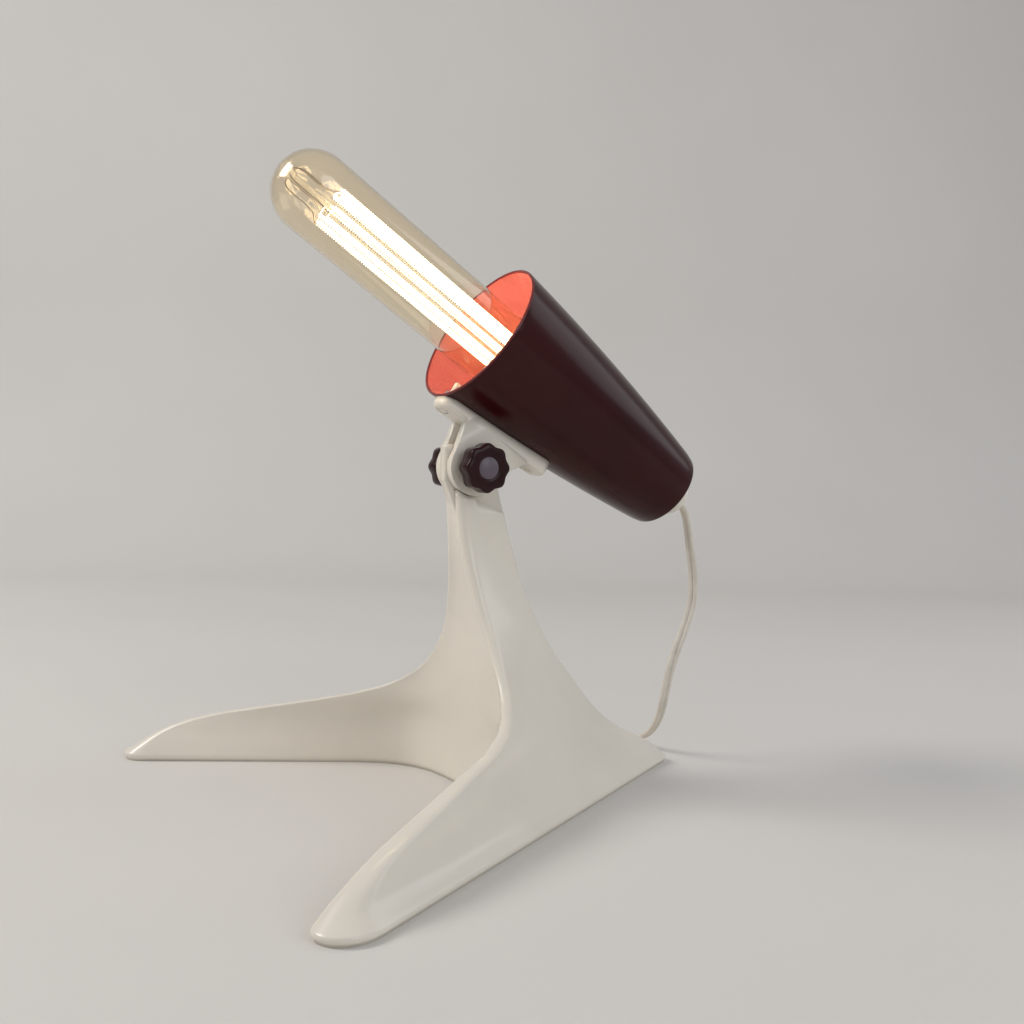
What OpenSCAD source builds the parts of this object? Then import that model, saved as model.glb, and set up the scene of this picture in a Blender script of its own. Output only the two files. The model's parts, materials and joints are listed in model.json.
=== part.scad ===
// Infrared heat therapy lamp on a moulded three-point stand.
// Millimetres, +Z up, the mouth of the shade faces -Y, and the tilt pivot runs along X.
// The origin is on the table, under the middle of the whole lamp.

/* [Stand] */
// Height of the tilt pivot above the table
pivot_h = 189.5; // [170:0.5:215]
// Middle of each front toe, out from the centre plane
toe_x = 157.5; // [130:0.1:175]
// Middle of each front toe, in front of the pivot
toe_y = 142.3; // [120:0.1:160]
// Radius of the toes above their rounded lower edge
toe_r = 13.6; // [12.5:0.1:17]
// Tip of the heel, behind the pivot
heel_y = 153.5; // [135:0.5:175]
// Front of the crotch between the legs, behind the pivot
crotch_y = 3.6; // [0:0.1:6]
// Half width of the straight front at the crotch
crotch_x = 68; // [60:0.5:74]
// Height where the rounded lower edge ends
band_h = 4; // [3:0.1:6]
// How far the lower edge rounds in
band_in = 1.5; // [0.6:0.1:2]
// Height of the upright foot under the rounded edge
foot_h = 1; // [0.5:0.1:1.5]
// Width of the stem at its top
stem_w = 18; // [16.5:0.1:20]
// Thickness of the tongue between the ears
tongue_t = 7.1; // [5.5:0.05:8]
// Height of the tongue's flat top above the pivot
tongue_top = 13.2; // [11.5:0.1:14]
// Front of the tongue, ahead of the pivot
tongue_front = 16.5; // [15.2:0.1:17]
// Depth of the coring pockets in the root of the stand
core_h = 30; // [15:1:34]

/* [Tilt joint] */
// Tilt of the shade's axis above level
tilt = 32.3; // [25:0.1:40]
// Radius of the round ears
ear_r = 16.2; // [15:0.1:17]
// Thickness of each ear
ear_t = 5; // [4:0.1:5.5]
// Gap between the ears and the stem's seat
ear_gap = 0.8; // [0.5:0.1:1.5]
// Diameter of the pivot stud
stud_d = 6; // [5:0.1:7]
// Gap between the end of the pivot stud and a knob's disc
stud_gap = 1.9; // [1.2:0.1:2.2]
// Thickness of the friction washers beside the tongue
friction_t = 0.4; // [0.3:0.05:0.6]
// Diameter of the friction washers
friction_d = 20; // [16:0.5:22]

/* [Knobs] */
// Diameter over the lobes
knob_d = 28.4; // [25:0.1:30]
// Thickness of a knob
knob_t = 14; // [12:0.1:16]
// Number of lobes
knob_lobes = 8; // [6:1:10]
// Diameter of the disc in a knob's face
disc_d = 12.8; // [11:0.1:15]
// Thickness of the disc
disc_t = 1.6; // [1.2:0.1:2.2]
// Diameter of the brass bush in a knob
bush_d = 10; // [9:0.1:11.5]
// Length of the brass bush
bush_len = 9; // [7:0.1:10]
// Thickness of the washer under a knob
washer_t = 1; // [0.8:0.1:1.5]
// Diameter of the washer under a knob
washer_d = 17; // [14:0.5:20]

/* [Saddle] */
// Width of the saddle and of its cradle strip
saddle_w = 18; // [17:0.1:20]
// Front end of the strip, ahead of the pivot along the shade
strip_front = 38; // [34:0.5:40]
// Rear end of the strip, behind the pivot along the shade
strip_rear = 44; // [38:0.5:48]
// Underside of the strip at the front, from the pivot
strip_low_front = 17.6; // [17:0.1:19]
// Underside of the strip at the rear, from the pivot
strip_low_rear = 21.4; // [20:0.1:23]
// Radius of the slot over the tongue, between the ears
slot_r = 21; // [20.6:0.1:21.6]
// Radius of the strip's corners, seen from below
strip_corner = 7; // [4:0.5:8.5]
// Radius of the strip's lower edge
strip_edge = 3; // [2:0.1:3.5]
// Diameter of the saddle screws
screw_d = 4; // [3:0.1:5]
// Place of the front screw, ahead of the pivot
screw_front = 32; // [28:0.5:33]
// Place of the rear screw, behind the pivot
screw_rear = 33; // [31:0.5:36]
// Height of the screws' ends above the shade's inner wall
screw_end = 10.5; // [8:0.5:12]

/* [Shade] */
// Distance from the pivot to the shade's axis
axis_h = 68.4; // [66:0.1:72]
// Radius of the mouth
mouth_r = 45; // [43:0.1:47]
// Radius of the tail before its edge is rounded
tail_r = 26.5; // [25.5:0.1:29]
// Mouth plane, ahead of the pivot
mouth_s = 38.5; // [36:0.5:44]
// Tail plane, behind the pivot
tail_s = 128.5; // [126:0.5:134]
// Straightness of the wall, where 1 is a plain cone
shade_bow = 0.53; // [0.3:0.01:1]
// Wall thickness
shade_wall = 1.8; // [1.4:0.1:2.4]
// Radius of the tail's edge
tail_edge = 2.6; // [2:0.1:4]

/* [Lampholder] */
// Diameter of the threaded nipple
nipple_d = 10; // [9:0.1:11]
// Diameter of the holder's barrel
holder_d = 40; // [38:0.5:44]
// Length of the holder's barrel
barrel_len = 38; // [34:0.5:42]
// Wall of the holder
holder_wall = 2; // [1.5:0.1:2.5]
// Inner diameter of the threaded shell
shell_d = 26.7; // [26.5:0.05:27.2]
// Wall of the threaded shell
shell_wall = 0.5; // [0.4:0.05:0.8]
// Diameter of the rear cap that grips the cord
cap_d = 23.5; // [21:0.1:26]
// Length of the rear cap
cap_len = 14; // [13:0.1:15]

/* [Bulb] */
// Diameter of the glass tube
bulb_d = 45; // [42:0.1:46]
// Tip of the glass, ahead of the pivot
bulb_tip = 181.8; // [170:0.1:186]
// Glass wall
glass_wall = 0.8; // [0.6:0.1:1.2]
// Diameter of the bulb's screw cap
bulb_cap_d = 26.2; // [25.8:0.1:26.4]
// Length of the bulb's screw cap
bulb_cap_len = 23; // [20:0.5:24]
// Radius of the filament cage
cage_r = 11; // [9:0.5:13]
// Number of filament strands
strands = 10; // [8:2:12]
// Far end of the filament cage, ahead of the pivot
cage_tip = 148; // [138:1:150]
// Near end of the filament cage, behind the pivot
cage_foot = 20; // [10:1:28]
// Radius at which the support wires run past the cage's far end
spider_r = 7.2; // [6:0.1:8]

/* [Cord and plug] */
// Width of the flat twin flex
flex_w = 6.4; // [5.8:0.1:6.6]
// Thickness of the flat twin flex
flex_t = 3.2; // [2.8:0.1:3.3]
// Width of the plug's body
plug_w = 35.3; // [33:0.1:37]
// Thickness of the plug's body
plug_t = 13.7; // [12:0.1:15]
// Length of the plug's body
plug_len = 35; // [30:0.5:40]
// Distance between the plug's pins
pin_gap = 19; // [18:0.1:20]
// Diameter of the plug's pins
pin_d = 4; // [3.8:0.1:4.8]
// Length of the plug's pins
pin_len = 19; // [18:0.1:20]

/* [Hidden] */
$fn = 48;
slip = 0.05;
eps = 0.01;

// The lamp stands with the middle of its box over the origin.
cap_end_s = tail_s + cap_len;
cap_edge = 3;
reach_rear = (cap_end_s - cap_edge) * cos(tilt) + (axis_h + cap_d / 2 - cap_edge) * sin(tilt) + cap_edge;
// The toes lean outward, so they reach less than a full radius forward.
reach_front = toe_y + 0.86 * toe_r;
pivot_y = (reach_front - reach_rear) / 2;
ear_out = saddle_w / 2;
ear_in = ear_out - ear_t;
seat_r = ear_r + ear_gap;
knob_in = ear_out + washer_t;
knob_out = knob_in + knob_t;
stud_len = 2 * (knob_out - disc_t - stud_gap);

// Places on the joint: x along the pivot, y and z as on the table.
module at_pivot() { translate([0, pivot_y, pivot_h]) children(); }
// The head's own frame: -Y along the shade to its mouth, +Z from the pivot to its axis.
module head() { at_pivot() rotate([-tilt, 0, 0]) children(); }
// A turned piece of the head, with +Z along the shade's axis towards the mouth.
module on_axis() { head() translate([0, 0, axis_h]) rotate([90, 0, 0]) children(); }
// A flat outline of (y, z) points given thickness from x = x0 to x = x1.
module plate(x0, x1) { translate([x0, 0, 0]) rotate([90, 0, 90]) linear_extrude(x1 - x0) children(); }
// A turned piece along +X, or along -X on the left.
module along_x(side) { rotate([0, 90 * side, 0]) children(); }
module ring(r_out, r_in, h) {
    difference() {
        cylinder(r = r_out, h = h);
        translate([0, 0, -1]) cylinder(r = r_in, h = h + 2);
    }
}

// ---- Smooth curves through a few knots -------------------------------------
// A row is [place, value, value ...]; the curve through a column keeps its rises and falls.
function knot(rows, f, i = 0) = (i > len(rows) - 3 || f < rows[i + 1][0]) ? i : knot(rows, f, i + 1);
function rise(rows, c, i) = (rows[i + 1][c] - rows[i][c]) / (rows[i + 1][0] - rows[i][0]);
function slope(rows, c, i) =
    i == 0 ? rise(rows, c, 0)
    : i == len(rows) - 1 ? rise(rows, c, i - 1)
    : let (a = rise(rows, c, i - 1), b = rise(rows, c, i)) a * b <= 0 ? 0 : 2 * a * b / (a + b);
function along(rows, c, f) =
    let (i = knot(rows, f))
    let (h = rows[i + 1][0] - rows[i][0])
    let (u = (f - rows[i][0]) / h)
    (1 + 2 * u) * (1 - u) * (1 - u) * rows[i][c]
    + u * (1 - u) * (1 - u) * h * slope(rows, c, i)
    + u * u * (3 - 2 * u) * rows[i + 1][c]
    + u * u * (u - 1) * h * slope(rows, c, i + 1);
function arc(c, r, a0, a1, n) = [for (k = [0 : n]) let (a = a0 + (a1 - a0) * k / n) c + r * [cos(a), sin(a)]];
function run(a, b, n) = [for (k = [1 : n]) a + (b - a) * k / (n + 1)];
function bend(a, k, b, n) =
    [for (j = [0 : n]) let (u = j / n) (1 - u) * (1 - u) * a + 2 * u * (1 - u) * k + u * u * b];

// ---- Stand -----------------------------------------------------------------
// The stand is a stack of level outlines. Each is given by a fraction of the height,
// 0 above the rounded lower edge and 1 under the tongue.
// Ridge of a leg: height, outward and forward shares from the stem to the toe, edge radius.
ridge = [
    [0.000, 1.000,  1.000, toe_r],
    [0.040, 0.965,  0.965, 8.8],
    [0.068, 0.948,  0.925, 7.0],
    [0.097, 0.916,  0.865, 5.6],
    [0.134, 0.852,  0.737, 5.0],
    [0.195, 0.634,  0.369, 4.0],
    [0.250, 0.464,  0.085, 3.2],
    [0.306, 0.348, -0.021, 2.8],
    [0.380, 0.242, -0.073, 2.6],
    [0.494, 0.142, -0.088, 3.0],
    [0.630, 0.069, -0.065, 3.2],
    [0.852, 0.010, -0.020, 3.5],
    [1.000, 0.000,  0.000, 3.5]
];
// Spine behind the stem: height, share of the way from the stem to the heel, edge radius.
spine = [
    [0.000, 1.000, 6.0],
    [0.018, 0.967, 6.0],
    [0.045, 0.926, 5.5],
    [0.080, 0.843, 5.0],
    [0.128, 0.716, 4.0],
    [0.180, 0.612, 3.5],
    [0.229, 0.542, 3.0],
    [0.326, 0.432, 3.0],
    [0.434, 0.314, 3.0],
    [0.652, 0.151, 3.0],
    [0.917, 0.032, 3.0],
    [1.000, 0.000, 3.0]
];
// Front between the legs: height, share of the way from the stem's front to the crotch.
front = [
    [0.000, 1.000],
    [0.306, 1.030],
    [0.494, 0.890],
    [0.630, 0.700],
    [0.852, 0.216],
    [1.000, 0.000]
];
stem_top = pivot_h - 9.5;
stem_x = stem_w / 2 - 3.5;
stem_y = -8.5;
stem_rear = 17.5;
stem_front = -11.2;
rear_flat = 3.5;
crotch_bend = 38;
levels = 30;
edge_steps = 4;
// Shape of the toe in plan: how much its outer side opens out, and over which angle.
toe_lean = 0.67;
toe_span = 150;
toe_steps = 16;

function near(a, b) = 1 / pow(pow(1 / a, 6) + pow(1 / b, 6), 1 / 6);
// The toe in plan is an arc whose outer side opens out and whose nose is tighter: towards each
// direction a it reaches h, and the point of the outline slides along by the rate at which h changes.
function toe_arc(c, r, lean, a0, a1) =
    [for (k = [0 : toe_steps])
        let (a = a0 + (a1 - a0) * k / toe_steps, u = min(1, (a0 - a) / toe_span))
        let (h = r - lean * toe_span * PI / 180 * u * (1 - u) * (1 - u))
        let (slide = lean * (1 - u) * (1 - 3 * u))
        c + h * [cos(a), sin(a)] + slide * [-sin(a), cos(a)]];
// Right half of the outline at one level, from the heel round the toe to the crotch.
function half_level(f, inset) =
    let (edge = along(ridge, 3, f), heel_edge = along(spine, 2, f))
    let (tip = [stem_x + (toe_x - stem_x) * along(ridge, 1, f),
                stem_y - (toe_y + stem_y) * along(ridge, 2, f)])
    let (heel = [rear_flat * f, stem_rear + (heel_y - stem_rear) * along(spine, 1, f) - heel_edge])
    let (mid = stem_front + (crotch_y - stem_front) * along(front, 1, f))
    let (corner = [near(crotch_x, 0.72 * (tip.x - edge)), mid + inset])
    let (way = tip - heel)
    let (out = atan2(way.y, way.x) + acos((heel_edge - edge) / norm(way)))
    let (back = corner - tip)
    let (turn = atan2(back.y, back.x) + acos((edge - inset) / norm(back)))
    let (inner = turn > 0 ? turn - 360 : turn)
    let (a = arc(heel, heel_edge - inset, 90, out, 4))
    let (b = toe_arc(tip, edge - inset, toe_lean * edge, out, inner))
    let (last = b[toe_steps])
    let (p = corner + (last - corner) * min(0.9, crotch_bend / norm(last - corner)))
    let (q = [corner.x * (1 - min(0.9, crotch_bend / corner.x)), corner.y])
    concat(a, run(a[4], b[0], 5), b, run(last, p, 4), bend(p, corner, q, 5));
function level(f, inset, z) =
    let (h = half_level(f, inset), n = len(h))
    let (mid = [0, h[n - 1].y])
    concat([for (p = h) [p.x, p.y, z]], [[mid.x, mid.y, z]],
           [for (k = [n - 1 : -1 : 0]) [-h[k].x, h[k].y, z]]);

// A closed skin over rings that have the same number of points.
module skin(rings) {
    n = len(rings[0]);
    m = len(rings);
    sides = [for (j = [0 : m - 2], k = [0 : n - 1]) let (l = (k + 1) % n)
        each [[j * n + k, j * n + l, (j + 1) * n + l], [j * n + k, (j + 1) * n + l, (j + 1) * n + k]]];
    polyhedron(
        points = [for (r = rings) each r],
        faces = concat([[for (k = [n - 1 : -1 : 0]) k]], sides, [[for (k = [0 : n - 1]) (m - 1) * n + k]]),
        convexity = 10);
}

module stand_skin() {
    rise_z = stem_top - band_h;
    skin(concat(
        [level(0, band_in, 0)],
        [for (k = [0 : edge_steps - 1]) let (a = 90 - 90 * k / edge_steps)
            level(0, band_in * (1 - cos(a)), band_h - (band_h - foot_h) * sin(a))],
        [for (i = [0 : levels]) let (f = pow(i / levels, 1.6)) level(f, 0, band_h + f * rise_z)]));
}

// Seat beside the tongue: an arc round the ears, then a slope down to the rear.
seat_slope = 20;
module seat_cut() {
    a = 270 - seat_slope;
    start = seat_r * [cos(a), sin(a)];
    polygon(concat(
        [for (k = [0 : 10]) let (b = 180 + (a - 180) * k / 10) seat_r * [cos(b), sin(b)]],
        [start + 70 * [cos(seat_slope), -sin(seat_slope)], [70, 40], [-seat_r, 40]]));
}

module rounded(r) { offset(r) offset(delta = -r) children(); }

// Tongue outline with a flat top, a small front corner and a round rear corner.
module tongue_outline() {
    r_front = 2.5;
    r_rear = 8;
    rear = 18.3;
    low = -30;
    hull() {
        translate([r_front - tongue_front, tongue_top - r_front]) circle(r_front);
        translate([rear - r_rear, tongue_top - r_rear]) circle(r_rear);
        translate([-8, low]) square([26, 1]);
        translate([r_front - tongue_front, -7]) circle(r_front);
    }
}

// Coring under the stand: the outline at a pocket's own height, less the walls and ribs.
leg_core_h = 8;
deep_core_h = 62;
core_wall = 3.5;
rib_t = 4;
rib_step = 32;
leg_rib_step = 33;
function plan(z) = [for (p = level((z - band_h) / (stem_top - band_h), 0, 0)) [p.x, p.y]];
module core_outline(z) { offset(delta = -core_wall) polygon(plan(z + core_wall)); }
root_x = 60;
root_front = 6;
root_len = 130;
module cross_ribs() {
    for (k = [0 : 3]) translate([-root_x, root_front + k * rib_step - rib_t / 2]) square([2 * root_x, rib_t]);
    for (x = [-37, 0, 37]) translate([x - rib_t / 2, 0]) square([rib_t, root_len]);
}
module leg_ribs() {
    for (m = [0, 1], k = [0 : 5]) mirror([m, 0, 0])
        translate([root_x, -root_front] + k * leg_rib_step * [sin(30), -cos(30)]) rotate(30)
            translate([-root_x / 2, -rib_t / 2]) square([root_x, rib_t]);
}
module pockets() {
    for (h = [core_h, deep_core_h]) translate([0, 0, -1]) linear_extrude(h + 1) difference() {
        intersection() {
            core_outline(h);
            translate([-root_x, root_front]) square([2 * root_x, root_len]);
        }
        cross_ribs();
    }
    translate([0, 0, -1]) linear_extrude(leg_core_h + 1) difference() {
        core_outline(leg_core_h);
        translate([-root_x - 2, 0]) square([2 * root_x + 4, heel_y]);
        translate([-toe_x, 2]) square([2 * toe_x, rib_t]);
        leg_ribs();
    }
}

module stand() {
    color("ivory") at_pivot() difference() {
        union() {
            difference() {
                translate([0, 0, -pivot_h]) stand_skin();
                plate(tongue_t / 2, 40) seat_cut();
                plate(-40, -tongue_t / 2) seat_cut();
            }
            plate(-tongue_t / 2, tongue_t / 2) tongue_outline();
        }
        translate([-20, 0, 0]) along_x(1) cylinder(d = stud_d + 2 * slip, h = 40);
        translate([0, 0, -pivot_h]) pockets();
    }
}

// ---- Tilt joint ------------------------------------------------------------
// Side view of one ear: a round boss that widens up to the strip.
ear_top = slot_r + 1;
ear_notch = [27, strip_low_rear - 1];
module ear_outline() {
    hull() {
        circle(ear_r);
        translate([-15, 16]) circle(3);
    }
    polygon([[-ear_r, 1], [-19.5, 17], [-20, ear_top], [ear_notch.x, ear_top], ear_notch,
             [15.6, 4], [8, -8], [-8, -8]]);
}
function shade_r(s) =
    let (u = (mouth_s - s) / (mouth_s + tail_s))
    mouth_r - (mouth_r - tail_r) * (shade_bow * u + (1 - shade_bow) * u * u);
// The strip: a bar with round ends and round lower edges; the shade cuts its top.
module strip_foot(y, z) {
    for (x = [-1, 1]) translate([x * (ear_out - strip_corner), y, z + strip_edge]) {
        rotate_extrude($fn = 32) translate([strip_corner - strip_edge, 0]) intersection() {
            circle(strip_edge, $fn = 24);
            translate([0, -strip_edge]) square(2 * strip_edge);
        }
        cylinder(r = strip_corner, h = 20, $fn = 32);
    }
}
module strip() {
    hull() {
        strip_foot(strip_corner - strip_front, strip_low_front);
        strip_foot(strip_rear - strip_corner, strip_low_rear);
    }
}
module shade_solid(grow) {
    steps = 24;
    span = mouth_s + tail_s;
    rotate_extrude($fn = 96) polygon(concat(
        [[0, -tail_s - grow], [tail_r + grow, -tail_s - grow]],
        [for (k = [1 : steps]) let (s = -tail_s + span * k / steps) [shade_r(s) + grow, s]],
        [[shade_r(mouth_s) + grow, mouth_s + 20], [0, mouth_s + 20]]));
}
// A screw's place: along the shade, and the height of the shade's inner wall there.
function screw_spot(y) = [0, y, axis_h - shade_r(-y) + shade_wall];
sink_h = 2.2;
sink_r = 3.6;
module saddle_bores() {
    for (y = [-screw_front, screw_rear]) translate(screw_spot(y)) {
        translate([0, 0, -20]) cylinder(d = screw_d + 2 * slip, h = 24);
        cylinder(r = screw_d + 0.3, h = 4);
    }
}
function strip_low(y) =
    let (round_in = strip_corner)
    strip_low_front + (strip_low_rear - strip_low_front) * (y + strip_front - round_in)
    / (strip_front + strip_rear - 2 * round_in);
module saddle() {
    color("ivory") head() difference() {
        union() {
            strip();
            plate(ear_in, ear_out) ear_outline();
            plate(-ear_out, -ear_in) ear_outline();
        }
        plate(-ear_in, ear_in) circle(slot_r);
        translate([-20, 0, 0]) along_x(1) cylinder(d = stud_d + 2 * slip, h = 40);
        translate([0, 0, axis_h]) rotate([90, 0, 0]) shade_solid(slip);
        saddle_bores();
        for (y = [-screw_front, screw_rear]) translate([0, y, strip_low(y) - 0.3])
            cylinder(r1 = sink_r + 0.35, r2 = screw_d / 2 + slip, h = sink_h + 0.4);
    }
}
module pivot_stud() {
    chamfer = 0.6;
    color("silver") at_pivot() translate([-stud_len / 2, 0, 0]) along_x(1) rotate_extrude()
        polygon([[0, 0], [stud_d / 2 - chamfer, 0], [stud_d / 2, chamfer],
                 [stud_d / 2, stud_len - chamfer], [stud_d / 2 - chamfer, stud_len], [0, stud_len]]);
}
module friction_washer(side) {
    color("dimgray") head() translate([side * (ear_in - friction_t), 0, 0]) along_x(side)
        ring(friction_d / 2, stud_d / 2 + slip, friction_t);
}
module knob_washer(side) {
    color("silver") head() translate([side * ear_out, 0, 0]) along_x(side)
        ring(washer_d / 2, stud_d / 2 + slip, washer_t);
}

// ---- Knobs -----------------------------------------------------------------
// Face of a knob: lobes round a circle, as r = mean + half the depth * cos(lobes * angle).
lobe_depth = 0.8;
function lobe_r(a, r) = r - lobe_depth + lobe_depth * cos(knob_lobes * a);
module lobed(r) { polygon([for (k = [0 : 95]) let (a = k * 3.75) lobe_r(a, r) * [cos(a), sin(a)]]); }
module knob(side) {
    hub_r = 10.5;
    hub_h = 3;
    face = 2;
    color("#241310") at_pivot() translate([side * knob_in, 0, 0]) along_x(side) difference() {
        union() {
            cylinder(r1 = hub_r, r2 = hub_r + 0.5, h = hub_h + eps);
            translate([0, 0, hub_h]) linear_extrude(1.5) lobed(knob_d / 2 - 0.8);
            translate([0, 0, hub_h + 1.5]) linear_extrude(knob_t - hub_h - 1.5 - face) lobed(knob_d / 2);
            translate([0, 0, knob_t - face]) linear_extrude(face / 2) lobed(knob_d / 2 - 0.6);
            translate([0, 0, knob_t - face / 2]) linear_extrude(face / 2) lobed(knob_d / 2 - 1.8);
        }
        translate([0, 0, -1]) cylinder(d = bush_d + 2 * slip, h = bush_len + 1);
        translate([0, 0, bush_len - eps]) cylinder(d = stud_d + 1, h = knob_t - disc_t - bush_len - 0.8);
        translate([0, 0, knob_t - disc_t]) cylinder(d = disc_d + 2 * slip, h = disc_t + 1);
    }
}
module knob_bush(side) {
    color("goldenrod") head() translate([side * knob_in, 0, 0]) along_x(side)
        ring(bush_d / 2, stud_d / 2 + slip, bush_len);
}
module knob_disc(side) {
    lip = 0.4;
    color("#5d4a56") head() translate([side * (knob_out - disc_t), 0, 0]) along_x(side) rotate_extrude()
        polygon([[0, 0], [disc_d / 2, 0], [disc_d / 2, disc_t - lip], [disc_d / 2 - lip, disc_t], [0, disc_t]]);
}

// ---- Shade and its fixings -------------------------------------------------
module shade() {
    steps = 24;
    span = mouth_s + tail_s;
    lip = shade_wall / 2;
    outside = concat(
        arc([tail_r - tail_edge, -tail_s + tail_edge], tail_edge, -90, -8, 6),
        [for (k = [1 : steps]) let (s = -tail_s + tail_edge + (span - tail_edge - lip) * k / steps)
            [shade_r(s), s]]);
    rim = arc([shade_r(mouth_s - lip) - lip, mouth_s - lip], lip, 20, 160, 5);
    inside = [for (k = [steps : -1 : 1])
        let (s = -tail_s + 2 * shade_wall + (span - 2 * shade_wall - lip) * k / steps)
            [shade_r(s) - shade_wall, s]];
    color("#3a0b0e") difference() {
        on_axis() rotate_extrude($fn = 96) polygon(concat(
            [[nipple_d / 2 + slip, -tail_s]], outside, rim, inside,
            [[tail_r - 2 * shade_wall, -tail_s + shade_wall], [nipple_d / 2 + slip, -tail_s + shade_wall]]));
        head() saddle_bores();
    }
}
module saddle_screws() {
    color("gainsboro") head() for (y = [-screw_front, screw_rear])
        let (top = screw_spot(y).z + screw_end, low = strip_low(y) + 0.1)
        translate([0, y, low]) rotate_extrude() polygon([
            [0, 0], [sink_r, 0], [screw_d / 2, sink_h], [screw_d / 2, top - low - 0.5],
            [screw_d / 2 - 0.5, top - low], [0, top - low]]);
}
module saddle_nuts() {
    flats = 7;
    nut = 3.2;
    color("gainsboro") head() for (y = [-screw_front, screw_rear]) translate(screw_spot(y)) difference() {
        cylinder(d = flats / cos(30), h = nut, $fn = 6);
        translate([0, 0, -1]) cylinder(d = screw_d + 2 * slip, h = nut + 2);
    }
}
module rear_cap() {
    edge = cap_edge;
    depth = 9;
    color("ivory") on_axis() translate([0, 0, -cap_end_s]) difference() {
        rotate_extrude() polygon(concat(
            [[0, 0]], arc([cap_d / 2 - edge, edge], edge, -90, 0, 6), [[cap_d / 2, cap_len], [0, cap_len]]));
        translate([0, 0, cap_len - depth]) cylinder(d = nipple_d, h = depth + 1);
        translate([0, 0, -1]) linear_extrude(cap_len) hull()
            for (x = [-1, 1]) translate([x * (flex_w - flex_t) / 2, 0]) circle(d = flex_t + 0.6, $fn = 32);
    }
}
nipple_in = 12;
module nipple() {
    bore = 7;
    color("goldenrod") on_axis() translate([0, 0, -tail_s - 9])
        ring(nipple_d / 2, bore / 2, 9 + nipple_in);
}
nut_h = 3;
module nipple_nut() {
    flats = 14;
    color("silver") on_axis() translate([0, 0, -tail_s + shade_wall]) difference() {
        cylinder(d = flats / cos(30), h = nut_h, $fn = 6);
        translate([0, 0, -1]) cylinder(d = nipple_d, h = nut_h + 2);
    }
}

// ---- Lampholder ------------------------------------------------------------
dome_s = -tail_s + shade_wall + nut_h;
dome_len = 19;
barrel_s = dome_s + dome_len;
core_s = barrel_s + 2;
core_len = 9;
shell_s = core_s + core_len;
module holder_dome() {
    neck = 8.5;
    neck_len = 8;
    w = holder_wall;
    r = holder_d / 2;
    color("#1c1a1a") on_axis() translate([0, 0, dome_s]) rotate_extrude() polygon(concat(
        [[nipple_d / 2 + slip, 0], [neck, 0], [neck, neck_len - 3]],
        [for (k = [0 : 8]) let (a = -80 + 80 * k / 8) [r - (r - neck) * (1 - cos(a)), dome_len + (dome_len - neck_len) * sin(a)]],
        [for (k = [8 : -1 : 0]) let (a = -80 + 80 * k / 8)
            [r - w - (r - neck) * (1 - cos(a)), dome_len + (dome_len - neck_len - w) * sin(a)]],
        [[nipple_d / 2 + slip, neck_len + w]]));
}
module holder_barrel() {
    lip = 1.5;
    r = holder_d / 2;
    color("#1c1a1a") on_axis() translate([0, 0, barrel_s]) rotate_extrude() polygon([
        [r - holder_wall, 0], [r, 0], [r, barrel_len - 1], [r - 1, barrel_len],
        [r - holder_wall - lip, barrel_len], [r - holder_wall - lip, barrel_len - 2],
        [r - holder_wall, barrel_len - 4]]);
}
lead_gap = 22;
module holder_core() {
    r = holder_d / 2 - holder_wall - slip;
    color("whitesmoke") on_axis() translate([0, 0, core_s]) difference() {
        cylinder(r = r, h = core_len);
        for (x = [-1, 1]) translate([x * lead_gap / 2, 0, -1]) cylinder(d = 3 + 2 * slip, h = core_len + 2);
    }
}
module holder_shell() {
    color("goldenrod") on_axis() translate([0, 0, shell_s])
        ring(shell_d / 2 + shell_wall, shell_d / 2, 23);
}
contact_h = 2.4;
module holder_contact() {
    color("goldenrod") on_axis() translate([0, 0, shell_s]) {
        translate([-4, -8, 0]) cube([8, 12, 0.6]);
        translate([0, 0, 0.5]) cylinder(r1 = 4, r2 = 2.5, h = contact_h - 0.5);
    }
}
module holder_terminals() {
    color("goldenrod") on_axis() for (x = [-1, 1]) translate([x * lead_gap / 2, 0, core_s - 2]) {
        cylinder(d = 6, h = 2);
        cylinder(d = 3, h = core_len);
    }
}
module holder_leads() {
    r = 1.1;
    inner = 1.7;
    start = -tail_s + 12.6;
    turn_s = dome_s + 10.5;
    color("sienna") on_axis() for (x = [-1, 1]) {
        translate([x * inner, 0, start]) cylinder(r = r, h = turn_s - start);
        translate([x * inner, 0, turn_s]) sphere(r);
        translate([x * inner, 0, turn_s]) rotate([0, x * atan2(lead_gap / 2 - inner, core_s - 2 - turn_s), 0])
            cylinder(r = r, h = norm([lead_gap / 2 - inner, core_s - 2 - turn_s]) - 1.3);
    }
}

// ---- Bulb ------------------------------------------------------------------
bulb_foot = shell_s + contact_h;
cap_base = bulb_foot + 3.4;
glass_s = cap_base + bulb_cap_len;
shoulder_len = 22;
module glass_outline(in) {
    r = bulb_d / 2 - in;
    neck = bulb_cap_d / 2 - 0.7 - in;
    polygon(concat(
        [[0, glass_s - 6 + in], [neck, glass_s - 6 + in], [neck, glass_s]],
        [for (k = [1 : 8]) let (u = k / 8)
            [neck + (r - neck) * (1 - cos(180 * u)) / 2, glass_s + shoulder_len * u]],
        arc([0, bulb_tip - bulb_d / 2], r, 0, 90, 14)));
}
module bulb_glass() {
    color("#e8b77088") on_axis() rotate_extrude($fn = 96) difference() {
        glass_outline(0);
        glass_outline(glass_wall);
    }
}
module bulb_cap() {
    r = bulb_cap_d / 2;
    color("silver") on_axis() translate([0, 0, cap_base]) rotate_extrude() polygon([
        [r - 3, 0], [r - 0.5, 1.5], [r, 3], [r, bulb_cap_len], [r - 0.6, bulb_cap_len],
        [r - 0.6, 3], [r - 3.5, 0.7], [r - 4, 0]]);
}
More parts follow.
